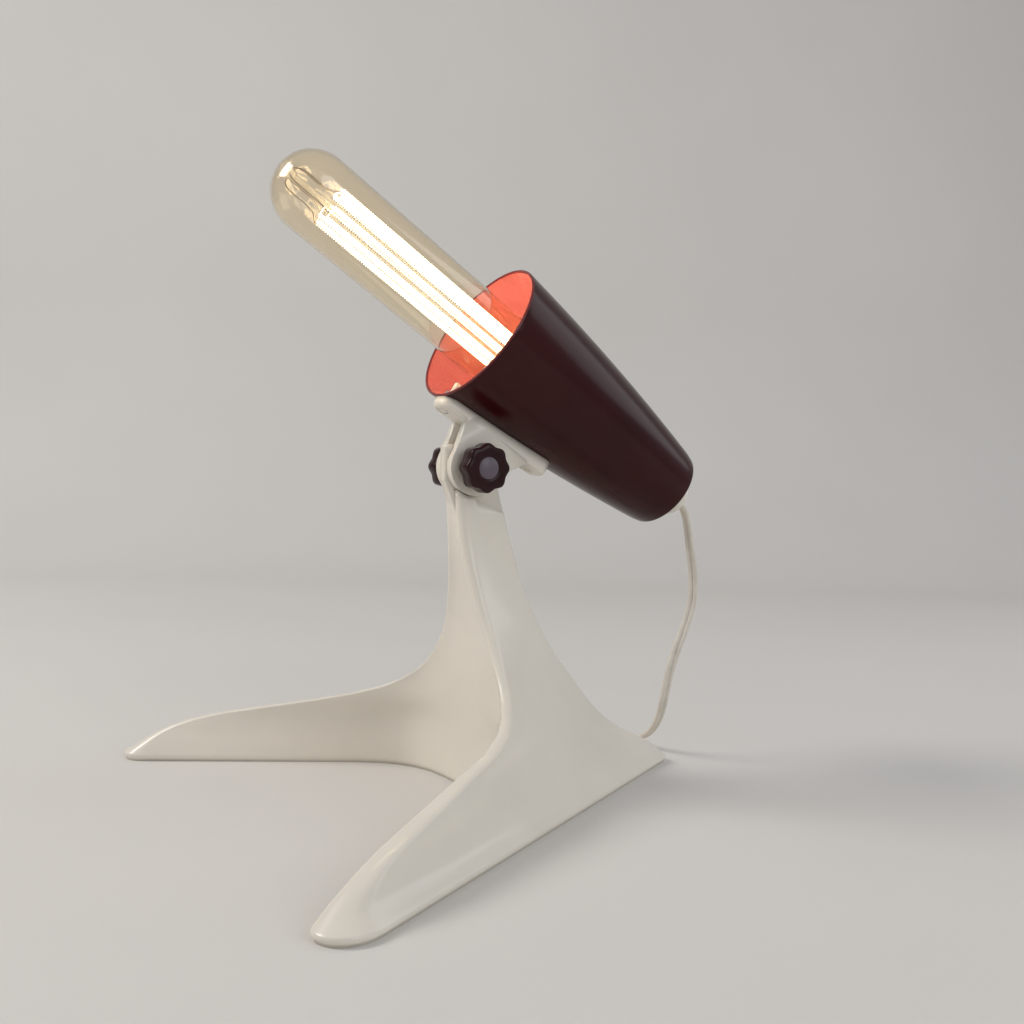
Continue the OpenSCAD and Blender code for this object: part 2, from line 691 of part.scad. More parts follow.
module bulb_insulator() {
    color("#15202a") on_axis() translate([0, 0, cap_base]) rotate_extrude() polygon([
        [0, -2.4], [4.8, -2.4], [bulb_cap_d / 2 - 4, 0], [bulb_cap_d / 2 - 3.5, 0.7], [0, 0.7]]);
}
module bulb_contact() {
    color("silver") on_axis() translate([0, 0, bulb_foot]) cylinder(r1 = 3.6, r2 = 4.6, h = 1);
}
flare_s = glass_s - 3;
press_s = -cage_foot - 22;
rod_r = 1.6;
bead_r = 3;
hub_s = bulb_tip - 6.5;
foot_hub_s = press_s + 8;
module bulb_stem() {
    neck = bulb_cap_d / 2 - 0.7 - glass_wall - slip;
    color("#d8cfc066") on_axis() rotate_extrude() polygon(concat(
        [[0, flare_s], [neck, flare_s], [neck - 3, flare_s + 4], [5, flare_s + 12],
         [5, press_s], [3.2, press_s + 5], [bead_r, foot_hub_s - 1], [bead_r, foot_hub_s + 1],
         [rod_r, foot_hub_s + 3], [rod_r, hub_s - 4], [bead_r, hub_s - 2]],
        arc([0, hub_s], bead_r, 0, 90, 4)));
}
// Places on the cage and round it: by strand and by place along the axis.
function round_axis(r, a, s) = [r * cos(a), r * sin(a), s];
function strand_angle(i) = 360 * (i + 0.5) / strands;
function cage(i, s) = round_axis(cage_r, strand_angle(i), s);
// A wire along a route that stays in one plane through the axis, at the angle a.
module plane_wire(route, a, r) {
    side = [-sin(a), cos(a), 0];
    pts = [for (p = route) round_axis(p[0], a, p[1])];
    skin([for (i = [0 : len(pts) - 1]) let (over = cross(heading(pts, i), side))
        [for (k = [0 : 5]) pts[i] + r * (cos(60 * k) * side + sin(60 * k) * over)]]);
}
strand_r = 0.3;
support_r = 0.35;
module bulb_supports() {
    hook_r = cage_r * cos(180 / strands);
    away = strand_r + support_r + 0.08;
    out = bead_r + 0.03;
    far = [[out, hub_s - 1], [5.2, hub_s - 1.5], [6.7, hub_s - 4], [spider_r, hub_s - 9],
           [spider_r, cage_tip + 10], [8.6, cage_tip + 4.5], [hook_r + away, cage_tip + 1.6],
           [hook_r + away, cage_tip - 0.3], [hook_r + 0.4, cage_tip - away], [hook_r - 0.3, cage_tip - away]];
    near = [[out, foot_hub_s], [5, foot_hub_s + 0.4], [7.5, foot_hub_s + 2.4], [9.6, -cage_foot - 7],
            [hook_r + away, -cage_foot - 1.6], [hook_r + away, -cage_foot + 0.3],
            [hook_r + 0.4, -cage_foot + away], [hook_r - 0.3, -cage_foot + away]];
    lead = [[out, foot_hub_s], [5, foot_hub_s + 0.4], [7.7, foot_hub_s + 2.4], [cage_r - 0.6, -cage_foot - 7],
            [cage_r, -cage_foot - 3.5], [cage_r, -cage_foot - strand_r]];
    color("#8a8378") on_axis() {
        for (i = [1 : 2 : strands - 1]) plane_wire(far, 360 * i / strands, support_r);
        for (i = [2 : 2 : strands - 2]) plane_wire(near, 360 * i / strands, support_r);
        for (i = [0, strands - 1]) plane_wire(lead, strand_angle(i), support_r);
    }
}
// One wire that goes up and down the cage, as rings of six points square to its way.
module strand(a, b) {
    way = unit(b - a);
    first = unit(cross(way, abs(way.z) < 0.9 ? [0, 0, 1] : [1, 0, 0]));
    second = cross(way, first);
    skin([for (p = [a, b]) [for (k = [0 : 5]) p + strand_r * (cos(60 * k) * first + sin(60 * k) * second)]]);
}
module bulb_filament() {
    past = strand_r / 2;
    color("#ffd27a") on_axis() for (i = [0 : strands - 1]) {
        strand(cage(i, -cage_foot - past), cage(i, cage_tip + past));
        if (i < strands - 1)
            let (s = i % 2 == 0 ? cage_tip : -cage_foot) strand(cage(i, s), cage(i + 1, s));
    }
}

// ---- Cord and plug ---------------------------------------------------------
// Route of the flex from the rear cap to the coil, chosen by hand.
drop_route = [
    [0, 157.2, 167.5], [0, 160, 163.8], [0, 162.1, 158.8], [0, 163.9, 151.5],
    [0, 166.2, 139.5], [0, 168.6, 127], [0, 169.9, 115.5], [0, 169.4, 105], [0, 166.6, 94.5],
    [0, 161.5, 82], [0, 156, 70], [-0.5, 152.5, 58.5], [-2, 151.2, 47.5], [-5, 151.5, 36.5],
    [-10, 152.7, 26], [-18, 154.3, 16.5], [-29, 155.6, 9], [-43, 155.6, 4.9], [-58, 154, 3.9],
    [-71, 152.2, 3.9], [-83.6, 151.5, 3.9]
];
end_route = [[0, 130.6, 185.1], [0, 138, 180.4], [0, 146, 175.4], [0, 152, 171.6], [0, 156.8, 167.9]];
lead_route = [[-131.5, 103.6, 10.8], [-131.7, 93.9, 10.3], [-132.5, 84.9, 9.2], [-133.7, 76.6, 7.9],
              [-135.3, 68.9, 7.1], [-137.5, 62, 6.85]];
coil_centre = [-90, 110];
coil_out = 41.5;
coil_pitch = 3.7;
coil_turns = 6.25;
coil_low = 3.9;
coil_step = 6.9;
coil_sides = 24;
function unit(v) = v / norm(v);
function heading(p, i) = unit(p[min(i + 1, len(p) - 1)] - p[max(i - 1, 0)]);
// Points of a flat flex's skin: shares of its half width and half thickness.
flat8 = [[1, 0.4], [0.75, 1], [-0.75, 1], [-1, 0.4], [-1, -0.4], [-0.75, -1], [0.75, -1], [1, -0.4]];
flat6 = [[1, 0], [0.72, 1], [-0.72, 1], [-1, 0], [-0.72, -1], [0.72, -1]];
function flex_ring(p, t, wide, shape) =
    let (w = unit(wide - t * (wide * t)))
    let (n = cross(t, w))
    [for (q = shape) p + q.x * flex_w / 2 * w + q.y * flex_t / 2 * n];
// The wide way of the flex turns from across the lamp, by way of along it, to upright.
function wide_way(f) =
    let (twist = 90 * min(1, f / 0.6))
    let (up = max(0, (f - 0.75) / 0.25))
    [cos(twist), sin(twist), 0] * (1 - up) + [0, 0.02, 1] * up;
// Where the head's end of the flex meets the hanging stretch, both faces are square to the pivot's
// radius, so that the tilting head slides past.
function out_from_pivot(p) = unit([0, p.y - pivot_y, p.z - pivot_h]);
module cord_drop() {
    n = len(drop_route) - 1;
    first = flex_ring(drop_route[0], out_from_pivot(drop_route[0]), [1, 0, 0], flat8);
    last = flex_ring(drop_route[n], coil_ends[0], wide_way(1), flat8);
    color("#cfc4b4") skin([first, for (i = [1 : n - 1])
        flex_ring(drop_route[i], heading(drop_route, i), wide_way(i / n), flat8), last]);
}
module cord_end() {
    n = len(end_route) - 1;
    last = flex_ring(end_route[n], out_from_pivot(end_route[n]), [1, 0, 0], flat8);
    color("#cfc4b4") skin([for (i = [0 : n - 1])
        flex_ring(end_route[i], heading(end_route, i), [1, 0, 0], flat8), last]);
}
function smooth(u) = let (v = min(1, max(0, u))) v * v * (3 - 2 * v);
// The coil winds in, steps one pitch further in for the half turn where it climbs, and winds out on top.
coil_in = (coil_turns - 1) / 2;
function coil_r(turn) =
    turn < coil_in ? coil_out - coil_pitch * turn
    : turn > coil_in + 1 ? coil_out - coil_pitch * (coil_turns - turn)
    : coil_out - coil_pitch * (coil_in + smooth(4 * min(turn - coil_in, coil_in + 1 - turn)));
function coil_point(turn) =
    let (r = coil_r(turn), a = 90 + 360 * turn)
    [coil_centre.x + r * cos(a), coil_centre.y + r * sin(a),
     coil_low + coil_step * smooth(2 * (turn - coil_in) - 0.5)];
coil_rings = round(coil_turns * coil_sides);
coil_route = concat(
    [coil_point(0) + [flex_w, 0, 0]],
    [for (i = [0 : coil_rings]) coil_point(coil_turns * i / coil_rings)],
    [coil_point(coil_turns) - [0, flex_w, 0]]);
coil_ends = [[-1, 0, 0], [0, -1, 0]];
function coil_heading(i) =
    i < 2 ? coil_ends[0] : i > coil_rings ? coil_ends[1] : heading(coil_route, i);
module cord_coil() {
    color("#cfc4b4") skin([for (i = [0 : coil_rings + 2])
        flex_ring(coil_route[i], coil_heading(i), [0, 0, 1], flat6)]);
}
function coil_gap(i, j) =
    let (d = coil_route[i] - coil_route[j])
    max(norm([d.x, d.y]) - flex_t, abs(d.z) - flex_w);
coil_room = min([for (i = [0 : 2 : coil_rings], j = [i + 12 : 1 : coil_rings + 2]) coil_gap(i, j)]);
module cord_lead() {
    n = len(lead_route) - 1;
    color("#cfc4b4") skin([for (i = [0 : n])
        let (t = i == 0 ? coil_ends[1] : i == n ? plug_way : heading(lead_route, i))
        flex_ring(lead_route[i], t, [0, 0, 1], flat8)]);
}
tie_angle = 90 + 360 * coil_in;
module cord_tie() {
    t = 0.6;
    w = 5;
    r_in = coil_out - coil_pitch * coil_in - flex_t / 2 - 0.5;
    r_out = coil_out + flex_t / 2 + 0.4;
    h = coil_low + coil_step + flex_w / 2 + 0.2 - t;
    color("#3c3c3c") translate([coil_centre.x, coil_centre.y, 0]) rotate(tie_angle)
        translate([r_in - t, w / 2, 0]) rotate([90, 0, 0]) linear_extrude(w) difference() {
            square([r_out - r_in + 2 * t, h + 2 * t]);
            translate([t, t]) square([r_out - r_in, h]);
        }
}
plug_x = -137.5;
plug_y = 62;
// The plug points outward from the leg, so that a socket can slide on.
plug_turn = 20;
plug_way = [-sin(plug_turn), -cos(plug_turn), 0];
pin_root = 8;
root_in = 0.4;
module plug() { translate([plug_x, plug_y, plug_t / 2]) rotate([90, 0, -plug_turn]) children(); }
module plug_body() {
    neck_len = 12;
    color("#efe9dc") plug() difference() {
        hull() {
            translate([0, 0, neck_len]) linear_extrude(plug_len - neck_len) hull()
                for (x = [-1, 1]) translate([x * (plug_w - plug_t) / 2, 0]) circle(d = plug_t, $fn = 32);
            linear_extrude(1) hull()
                for (x = [-1, 1]) translate([x * 1.5, 0]) circle(d = 9, $fn = 32);
        }
        for (x = [-1, 1]) translate([x * pin_gap / 2, 0, plug_len - pin_root])
            cylinder(r = pin_d / 2 - root_in + slip, h = pin_root + 1);
    }
}
module plug_pins() {
    tip = 0.8;
    r = pin_d / 2;
    full = pin_root + 0.6;
    color("silver") plug() for (x = [-1, 1]) translate([x * pin_gap / 2, 0, plug_len - pin_root]) rotate_extrude()
        polygon([[0, 0], [r - root_in, 0], [r - root_in, full], [r, full], [r, pin_root + pin_len - tip],
                 [r - tip, pin_root + pin_len], [0, pin_root + pin_len]]);
}
echo(least_gap_of_coil = coil_room);

stand();
saddle();
pivot_stud();
friction_washer(1);  // friction_washer_right
friction_washer(-1);  // friction_washer_left
knob_washer(1);  // knob_washer_right
knob_washer(-1);  // knob_washer_left
knob(1);  // knob_right
knob(-1);  // knob_left
knob_bush(1);  // knob_bush_right
knob_bush(-1);  // knob_bush_left
knob_disc(1);  // knob_disc_right
knob_disc(-1);  // knob_disc_left
shade();
saddle_screws();
saddle_nuts();
rear_cap();
nipple();
nipple_nut();
holder_dome();
holder_barrel();
holder_core();
holder_shell();
holder_contact();
holder_terminals();
holder_leads();
bulb_glass();
bulb_cap();
bulb_insulator();
bulb_contact();
bulb_stem();
bulb_supports();
bulb_filament();
cord_end();
cord_drop();
cord_coil();
cord_lead();
cord_tie();
plug_body();
plug_pins();
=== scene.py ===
"""Looks of a table-top infrared heat lamp: ivory stand, maroon shade, lit tubular bulb and flex."""

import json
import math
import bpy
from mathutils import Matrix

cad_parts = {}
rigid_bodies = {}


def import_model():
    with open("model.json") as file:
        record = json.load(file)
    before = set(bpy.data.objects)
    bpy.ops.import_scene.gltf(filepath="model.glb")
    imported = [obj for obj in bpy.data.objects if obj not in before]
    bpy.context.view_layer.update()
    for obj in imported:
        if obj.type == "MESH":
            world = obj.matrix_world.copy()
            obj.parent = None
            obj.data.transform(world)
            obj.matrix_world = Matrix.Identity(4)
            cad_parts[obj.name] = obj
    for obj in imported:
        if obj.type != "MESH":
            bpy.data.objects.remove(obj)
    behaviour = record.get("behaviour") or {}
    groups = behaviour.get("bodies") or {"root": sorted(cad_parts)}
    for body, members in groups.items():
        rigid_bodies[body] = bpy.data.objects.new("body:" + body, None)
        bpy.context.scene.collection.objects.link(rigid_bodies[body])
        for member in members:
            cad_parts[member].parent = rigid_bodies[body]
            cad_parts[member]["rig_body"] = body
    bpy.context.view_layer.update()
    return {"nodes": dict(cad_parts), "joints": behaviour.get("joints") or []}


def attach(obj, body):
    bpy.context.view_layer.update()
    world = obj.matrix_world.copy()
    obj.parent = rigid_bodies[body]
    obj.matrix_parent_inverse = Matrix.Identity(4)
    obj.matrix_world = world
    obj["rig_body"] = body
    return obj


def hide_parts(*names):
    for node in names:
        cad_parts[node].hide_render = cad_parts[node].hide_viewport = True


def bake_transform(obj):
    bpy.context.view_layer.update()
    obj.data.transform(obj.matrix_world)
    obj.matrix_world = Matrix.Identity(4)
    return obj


bl_info = {
    "name": "Infrared heat lamp",
    "version": (1, 0, 0),
    "blender": (4, 5, 0),
    "location": "View3D > Sidebar > Heat Lamp",
    "description": "Builds the finishes, bulb, knobs, shade and flex of a tilting infrared heat lamp",
    "category": "Object",
}

import bmesh
import bpy
import numpy as np
from bpy.props import FloatProperty, FloatVectorProperty, IntProperty, PointerProperty
from mathutils import Matrix

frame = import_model()

MM = 0.001
JOINTS = {joint["name"]: joint for joint in frame["joints"]}
PIVOT = np.array(JOINTS["head_tilt"]["pos_m"])


# ---- Sizes and colours a user may change -----------------------------------------------------------


def length(name, value, description):
    """A length in metres, given in millimetres."""
    return FloatProperty(
        name=name, description=description, default=value * MM, min=0.0, unit="LENGTH", precision=5
    )


def colour(name, value, description):
    """A colour without alpha."""
    return FloatVectorProperty(
        name=name, description=description, default=value, size=3, min=0.0, max=1.0, subtype="COLOR"
    )


class ShadeSizes(bpy.types.PropertyGroup):
    """Sizes of the head: the shade's turned shape and how the head tilts."""

    tilt: FloatProperty(
        name="Tilt", description="Tilt of the shade's axis above level", default=math.radians(32.3),
        subtype="ANGLE",
    )
    axis_height: length("Axis height", 68.4, "From the pivot to the shade's axis")
    mouth: length("Mouth plane", 38.5, "Mouth plane ahead of the pivot")
    tail: length("Tail plane", 128.5, "Tail plane behind the pivot")
    mouth_radius: length("Mouth radius", 45.0, "Outer radius of the mouth")
    tail_radius: length("Tail radius", 26.5, "Outer radius of the tail before its edge is rounded")
    tail_edge: length("Tail edge", 2.6, "Radius of the tail's edge")
    wall: length("Wall", 1.8, "Thickness of the shade's wall")
    bow: FloatProperty(
        name="Bow", description="Straightness of the wall, where 1 is a plain cone", default=0.53
    )
    bore_radius: length("Bore radius", 5.0, "Radius of the hole for the nipple in the tail wall")


class BulbSizes(bpy.types.PropertyGroup):
    """Sizes of the tubular bulb."""

    radius: length("Radius", 22.5, "Outer radius of the glass tube")
    wall: length("Wall", 0.8, "Thickness of the glass")
    neck_radius: length("Neck radius", 12.4, "Outer radius of the glass in its screw cap")
    tip: length("Tip", 181.8, "Tip of the glass ahead of the pivot")
    neck: length("Neck", 65.3, "Start of the shoulder behind the pivot")
    shoulder: length("Shoulder", 22.0, "Length of the shoulder from neck to tube")
    cage_radius: length("Cage radius", 11.0, "Radius of the filament cage")
    cage_tip: length("Cage tip", 148.0, "Far end of the filament cage ahead of the pivot")
    cage_foot: length("Cage foot", 20.0, "Near end of the filament cage behind the pivot")
    bead: length("Bead", 3.0, "Radius of the glass beads that hold the wires")
    far_bead: length("Far bead", 175.3, "Bead near the tip, ahead of the pivot")
    near_bead: length("Near bead", 34.0, "Bead at the foot, behind the pivot")
    spider: length("Spider", 7.2, "Radius at which the wires run past the cage's far end")
    strands: IntProperty(name="Strands", description="Strands of the filament", default=10, min=2)
    glow: FloatProperty(
        name="Glow", description="Strength of the filament's light", default=8.0, min=0.0
    )


class KnobSizes(bpy.types.PropertyGroup):
    """Sizes of the lobed knobs."""

    radius: length("Radius", 14.2, "Radius over the lobes")
    thickness: length("Thickness", 14.0, "Thickness of a knob")
    lobes: IntProperty(name="Lobes", description="Number of lobes", default=8, min=3)
    lobe_depth: length("Lobe depth", 1.4, "Depth of the hollows between the lobes")
    inner_face: length("Inner face", 10.0, "Inner face of a knob, out from the centre plane")
    disc_radius: length("Disc radius", 6.4, "Radius of the disc let into the face")


class Finishes(bpy.types.PropertyGroup):
    """Colours of the finishes."""

    ivory: colour("Ivory", (0.83, 0.775, 0.68), "Moulded stand, saddle and rear cap")
    maroon: colour("Maroon", (0.038, 0.004, 0.005), "Outside of the shade")
    coral: colour("Coral", (0.56, 0.15, 0.16), "Inside of the shade")
    knob: colour("Knob", (0.03, 0.007, 0.008), "Moulded knobs")
    disc: colour("Disc", (0.13, 0.10, 0.125), "Discs in the knobs")
    flex: colour("Flex", (0.78, 0.72, 0.63), "Twin flex")
    glow: colour("Glow", (1.0, 0.78, 0.52), "Light of the filament")


class LampSettings(bpy.types.PropertyGroup):
    """All the settings of the lamp."""

    shade: PointerProperty(type=ShadeSizes)
    bulb: PointerProperty(type=BulbSizes)
    knob: PointerProperty(type=KnobSizes)
    finish: PointerProperty(type=Finishes)


def settings():
    """The lamp's settings in the open scene."""
    return bpy.context.scene.heat_lamp


# ---- Meshes from arrays ----------------------------------------------------------------------------


def grid_faces(rows, columns, wrap_rows, wrap_columns):
    """Quads between neighbours on a grid of rows by columns, closed round either way if asked."""
    i = np.arange(rows if wrap_rows else rows - 1)
    j = np.arange(columns if wrap_columns else columns - 1)
    i, j = (a.ravel() for a in np.meshgrid(i, j, indexing="ij"))
    down, across = (i + 1) % rows, (j + 1) % columns
    return np.stack(
        [i * columns + j, i * columns + across, down * columns + across, down * columns + j], 1)


def mesh_object(name, points, faces, smooth_angle=math.radians(35)):
    """An object with a smooth-shaded mesh, split at edges sharper than the angle."""
    mesh = bpy.data.meshes.new(name)
    mesh.from_pydata(np.asarray(points).reshape(-1, 3).tolist(), [], [list(map(int, f)) for f in faces])
    mesh.update()
    tidy = bmesh.new()
    tidy.from_mesh(mesh)
    bmesh.ops.remove_doubles(tidy, verts=tidy.verts, dist=1e-7)
    bmesh.ops.recalc_face_normals(tidy, faces=tidy.faces)
    tidy.to_mesh(mesh)
    tidy.free()
    mesh.shade_smooth()
    mesh.set_sharp_from_angle(angle=smooth_angle)
    made = bpy.data.objects.new(name, mesh)
    bpy.context.scene.collection.objects.link(made)
    return made


def grid_object(name, points, wrap_rows=False, wrap_columns=True, caps=False, **more):
    """A surface over an array of rows by columns of points, with its end rows closed if caps is set."""
    rows, columns = points.shape[:2]
    faces = grid_faces(rows, columns, wrap_rows, wrap_columns).tolist()
    if caps:
        faces += [list(range(columns))[::-1], list(range((rows - 1) * columns, rows * columns))]
    return mesh_object(name, points, faces, **more)


def smooth_copy(node, name, angle=math.radians(35)):
    """A merged, smooth-shaded copy of a CAD node's mesh that stands for the node."""
    mesh = frame["nodes"][node].data.copy()
    mesh.name = name
    tidy = bmesh.new()
    tidy.from_mesh(mesh)
    bmesh.ops.remove_doubles(tidy, verts=tidy.verts, dist=2e-6)
    tidy.to_mesh(mesh)
    tidy.free()
    mesh.shade_smooth()
    mesh.set_sharp_from_angle(angle=angle)
    made = bpy.data.objects.new(name, mesh)
    bpy.context.scene.collection.objects.link(made)
    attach(made, frame["nodes"][node]["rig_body"])
    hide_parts(node)
    return made


def head_point(s, h, x=0.0):
    """Place in the frame of a point s ahead of the pivot along the shade, h above it and x aside."""
    tilt = settings().shade.tilt
    along = np.array([0.0, -math.cos(tilt), math.sin(tilt)])
    up = np.array([0.0, math.sin(tilt), math.cos(tilt)])
    s, h, x = np.broadcast_arrays(np.asarray(s, float), h, x)
    return PIVOT + x[..., None] * np.array([1.0, 0, 0]) + s[..., None] * along + h[..., None] * up


def turned(profile, segments=128):
    """Turned surface on the shade's axis: the point at radius r and place s goes round by the angle."""
    angle = np.linspace(0, 2 * math.pi, segments, endpoint=False)
    r, s = profile[:, 0][:, None], profile[:, 1][:, None]
    return head_point(s, settings().shade.axis_height + r * np.cos(angle), r * np.sin(angle))


def arc_points(centre, radius, start, end, count):
    """Points on an arc from the start angle to the end angle, in degrees."""
    angle = np.radians(np.linspace(start, end, count))
    return np.stack([centre[0] + radius * np.cos(angle), centre[1] + radius * np.sin(angle)], 1)


# ---- Materials -------------------------------------------------------------------------------------


class Nodes:
    """A new material's node tree with short ways to add and join nodes."""

    def __init__(self, name):
        self.material = bpy.data.materials.new(name)
        self.material.use_nodes = True
        self.tree = self.material.node_tree
        self.shader = self.tree.nodes["Principled BSDF"]
        self.output = self.tree.nodes["Material Output"]
        self.place = self.add("ShaderNodeTexCoord").outputs["Object"]

    def add(self, kind, **values):
        node = self.tree.nodes.new(kind)
        for key, value in values.items():
            setattr(node, key, value)
        return node

    def join(self, source, target):
        self.tree.links.new(source, target)

    def noise(self, scale, detail=3.0, roughness=0.5, stretch=(1, 1, 1)):
        """Noise over the object's own coordinates, stretched by the three factors."""
        mapping = self.add("ShaderNodeMapping")
        mapping.inputs["Scale"].default_value = stretch
        self.join(self.place, mapping.inputs["Vector"])
        noise = self.add("ShaderNodeTexNoise")
        noise.inputs["Scale"].default_value = scale
        noise.inputs["Detail"].default_value = detail
        noise.inputs["Roughness"].default_value = roughness
        self.join(mapping.outputs["Vector"], noise.inputs["Vector"])
        return noise.outputs["Fac"]

    def remap(self, value, low, high, new_low, new_high):
        """The value moved from one range to another, and held inside it."""
        node = self.add("ShaderNodeMapRange")
        ends = {"From Min": low, "From Max": high, "To Min": new_low, "To Max": new_high}
        for key, number in ends.items():
            node.inputs[key].default_value = number
        self.join(value, node.inputs["Value"])
        return node.outputs["Result"]

    def blend_colour(self, share, first, second):
        """A colour between two by the share."""
        node = self.add("ShaderNodeMix", data_type="RGBA")
        node.inputs["A"].default_value = (*first, 1.0)
        node.inputs["B"].default_value = (*second, 1.0)
        self.join(share, node.inputs["Factor"])
        return node.outputs["Result"]

    def bump(self, height, strength, distance, edge=0.0):
        """A bump from a height, in metres of depth, over edges rounded to the radius."""
        node = self.add("ShaderNodeBump")
        if edge:
            rounded = self.add("ShaderNodeBevel", samples=6)
            rounded.inputs["Radius"].default_value = edge
            self.join(rounded.outputs["Normal"], node.inputs["Normal"])
        node.inputs["Strength"].default_value = strength
        node.inputs["Distance"].default_value = distance
        self.join(height, node.inputs["Height"])
        self.join(node.outputs["Normal"], self.shader.inputs["Normal"])

    def set(self, **values):
        for key, value in values.items():
            self.shader.inputs[key.replace("_", " ")].default_value = value


def toned(base, factor):
    """The colour darkened or lightened by a factor."""
    return tuple(min(1.0, channel * factor) for channel in base)


def moulded(name, base, roughness, coat=0.0, waviness=0.25, shade_share=0.9, edge=0.0, specular=0.5):
    """Glossy moulding: faint flow in the colour, fine scuffs in the gloss and a slight ripple."""
    n = Nodes(name)
    n.join(n.blend_colour(n.remap(n.noise(18, 4), 0.35, 0.7, 0, 1), base, toned(base, shade_share)),
           n.shader.inputs["Base Color"])
    n.join(n.remap(n.noise(900, 2, 0.6, (1, 1, 4)), 0.3, 0.8, roughness * 0.85, roughness * 1.2),
           n.shader.inputs["Roughness"])
    n.bump(n.noise(55, 3), waviness, 0.0004, edge)
    n.set(Coat_Weight=coat, Coat_Roughness=0.08, IOR=1.5, Specular_IOR_Level=specular)
    return n.material


def turned_metal(name, base, roughness, rings=(1, 1, 1)):
    """Machined metal: fine lines in the gloss, and a little tarnish."""
    n = Nodes(name)
    n.join(n.blend_colour(n.remap(n.noise(60, 4), 0.4, 0.75, 0, 1), base, toned(base, 0.72)),
           n.shader.inputs["Base Color"])
    n.join(n.remap(n.noise(700, 2, 0.6, rings), 0.3, 0.8, roughness * 0.7, roughness * 1.6),
           n.shader.inputs["Roughness"])
    n.bump(n.noise(900, 2, 0.5, rings), 0.15, 0.0001)
    n.set(Metallic=1.0)
    return n.material


def clear_glass(name, tint, roughness=0.01, clear=1.0):
    """Thin clear glass that lets the filament's light through, with faint streaks in its gloss."""
    n = Nodes(name)
    n.set(Base_Color=(*tint, 1.0), Roughness=roughness, IOR=1.47, Transmission_Weight=clear)
    n.bump(n.noise(35, 2, 0.4), 0.05, 0.0004)
    through = n.add("ShaderNodeBsdfTransparent")
    through.inputs["Color"].default_value = (*tint, 1.0)
    path = n.add("ShaderNodeLightPath")
    mix = n.add("ShaderNodeMixShader")
    n.join(path.outputs["Is Shadow Ray"], mix.inputs["Fac"])
    n.join(n.shader.outputs["BSDF"], mix.inputs[1])
    n.join(through.outputs["BSDF"], mix.inputs[2])
    n.join(mix.outputs["Shader"], n.output.inputs["Surface"])
    return n.material


def glowing(name, base, strength):
    """Hot wire: a warm light, a little uneven along the wire."""
    n = Nodes(name)
    n.join(n.blend_colour(n.remap(n.noise(120, 2), 0.3, 0.7, 0, 1), base, toned(base, 1.15)),
           n.shader.inputs["Emission Color"])
    n.set(Base_Color=(0.2, 0.12, 0.06, 1.0), Roughness=0.5, Emission_Strength=strength)
    return n.material


def cloudy(name, base, roughness, spread=0.8):
    """Dull moulding or ceramic: soft clouds in the colour and a fine grain."""
    n = Nodes(name)
    n.join(n.blend_colour(n.remap(n.noise(90, 4), 0.35, 0.7, 0, 1), base, toned(base, spread)),
           n.shader.inputs["Base Color"])
    n.bump(n.noise(1200, 2), 0.2, 0.0002)
    n.set(Roughness=roughness)
    return n.material


MATERIALS = {}


def make_materials():
    """Every finish by name."""
    finish = settings().finish
    MATERIALS.update(
        ivory=moulded("ivory_moulding", tuple(finish.ivory), 0.24, coat=0.15, waviness=0.08,
                      shade_share=0.94, edge=0.0006),
        maroon=moulded("maroon_enamel", tuple(finish.maroon), 0.2, waviness=0.05, shade_share=0.7,
                       specular=0.2),
        coral=moulded("coral_enamel", tuple(finish.coral), 0.28, waviness=0.2, shade_share=0.85),
        rim=moulded("rim_enamel", (0.17, 0.016, 0.016), 0.25, waviness=0.1, shade_share=0.7),
        knob=moulded("knob_moulding", tuple(finish.knob), 0.22, waviness=0.3, shade_share=0.6,
                     specular=0.2),
        disc=moulded("disc_moulding", tuple(finish.disc), 0.38, waviness=0.2, shade_share=0.8),
        black=moulded("black_moulding", (0.012, 0.011, 0.011), 0.25, waviness=0.2, shade_share=0.7),
        steel=turned_metal("plated_steel", (0.62, 0.61, 0.6), 0.26, (1, 1, 8)),
        brass=turned_metal("turned_brass", (0.62, 0.42, 0.16), 0.28, (1, 8, 1)),
        bulb_metal=turned_metal("bulb_cap_metal", (0.7, 0.69, 0.67), 0.3, (1, 4, 4)),
        wire=turned_metal("support_wire", (0.36, 0.31, 0.26), 0.4),
        fibre=cloudy("fibre", (0.06, 0.05, 0.045), 0.75),
        ceramic=cloudy("glazed_ceramic", (0.78, 0.77, 0.72), 0.25, 0.93),
        sleeve=cloudy("lead_sleeve", (0.16, 0.07, 0.035), 0.6),
        tie=cloudy("moulded_tie", (0.72, 0.70, 0.64), 0.45, 0.92),
        flex=cloudy("twin_flex", tuple(finish.flex), 0.42, 0.86),
        plug=cloudy("plug_moulding", (0.72, 0.68, 0.6), 0.36, 0.93),
        glass=clear_glass("bulb_glass", (0.99, 0.92, 0.79)),
        stem=clear_glass("stem_glass", (0.98, 0.95, 0.9), 0.12, 0.75),
        filament=glowing("hot_filament", tuple(finish.glow), settings().bulb.glow),
    )


def paint(piece, *names):
    """Gives the piece these finishes, in place of what it had."""
    piece.data.materials.clear()
    for name in names:
        piece.data.materials.append(MATERIALS[name])
    return piece


# ---- Stage -----------------------------------------------------------------------------------------
# The camera was solved from the photograph: angles in degrees, distance and target in metres.
CAMERA_LENS = 39.83
CAMERA_AZIMUTH, CAMERA_ELEVATION = 60.23, 3.82
CAMERA_DISTANCE = 0.65846
CAMERA_TARGET_HEIGHT = 0.150
CAMERA_YAW_PITCH_ROLL = (2.27, -1.24, -1.35)

# The floor's wall stands across this way, in degrees; its sizes are in metres.
WALL_WAY = math.radians(60)
FLOOR_FRONT, WALL_PLACE, WALL_HEIGHT, HALF_WIDTH, FLOOR_BEND = -4.0, 1.6, 3.2, 4.0, 0.5
PAPER, PAPER_CLOUD = (0.72, 0.70, 0.67), (0.70, 0.68, 0.65)

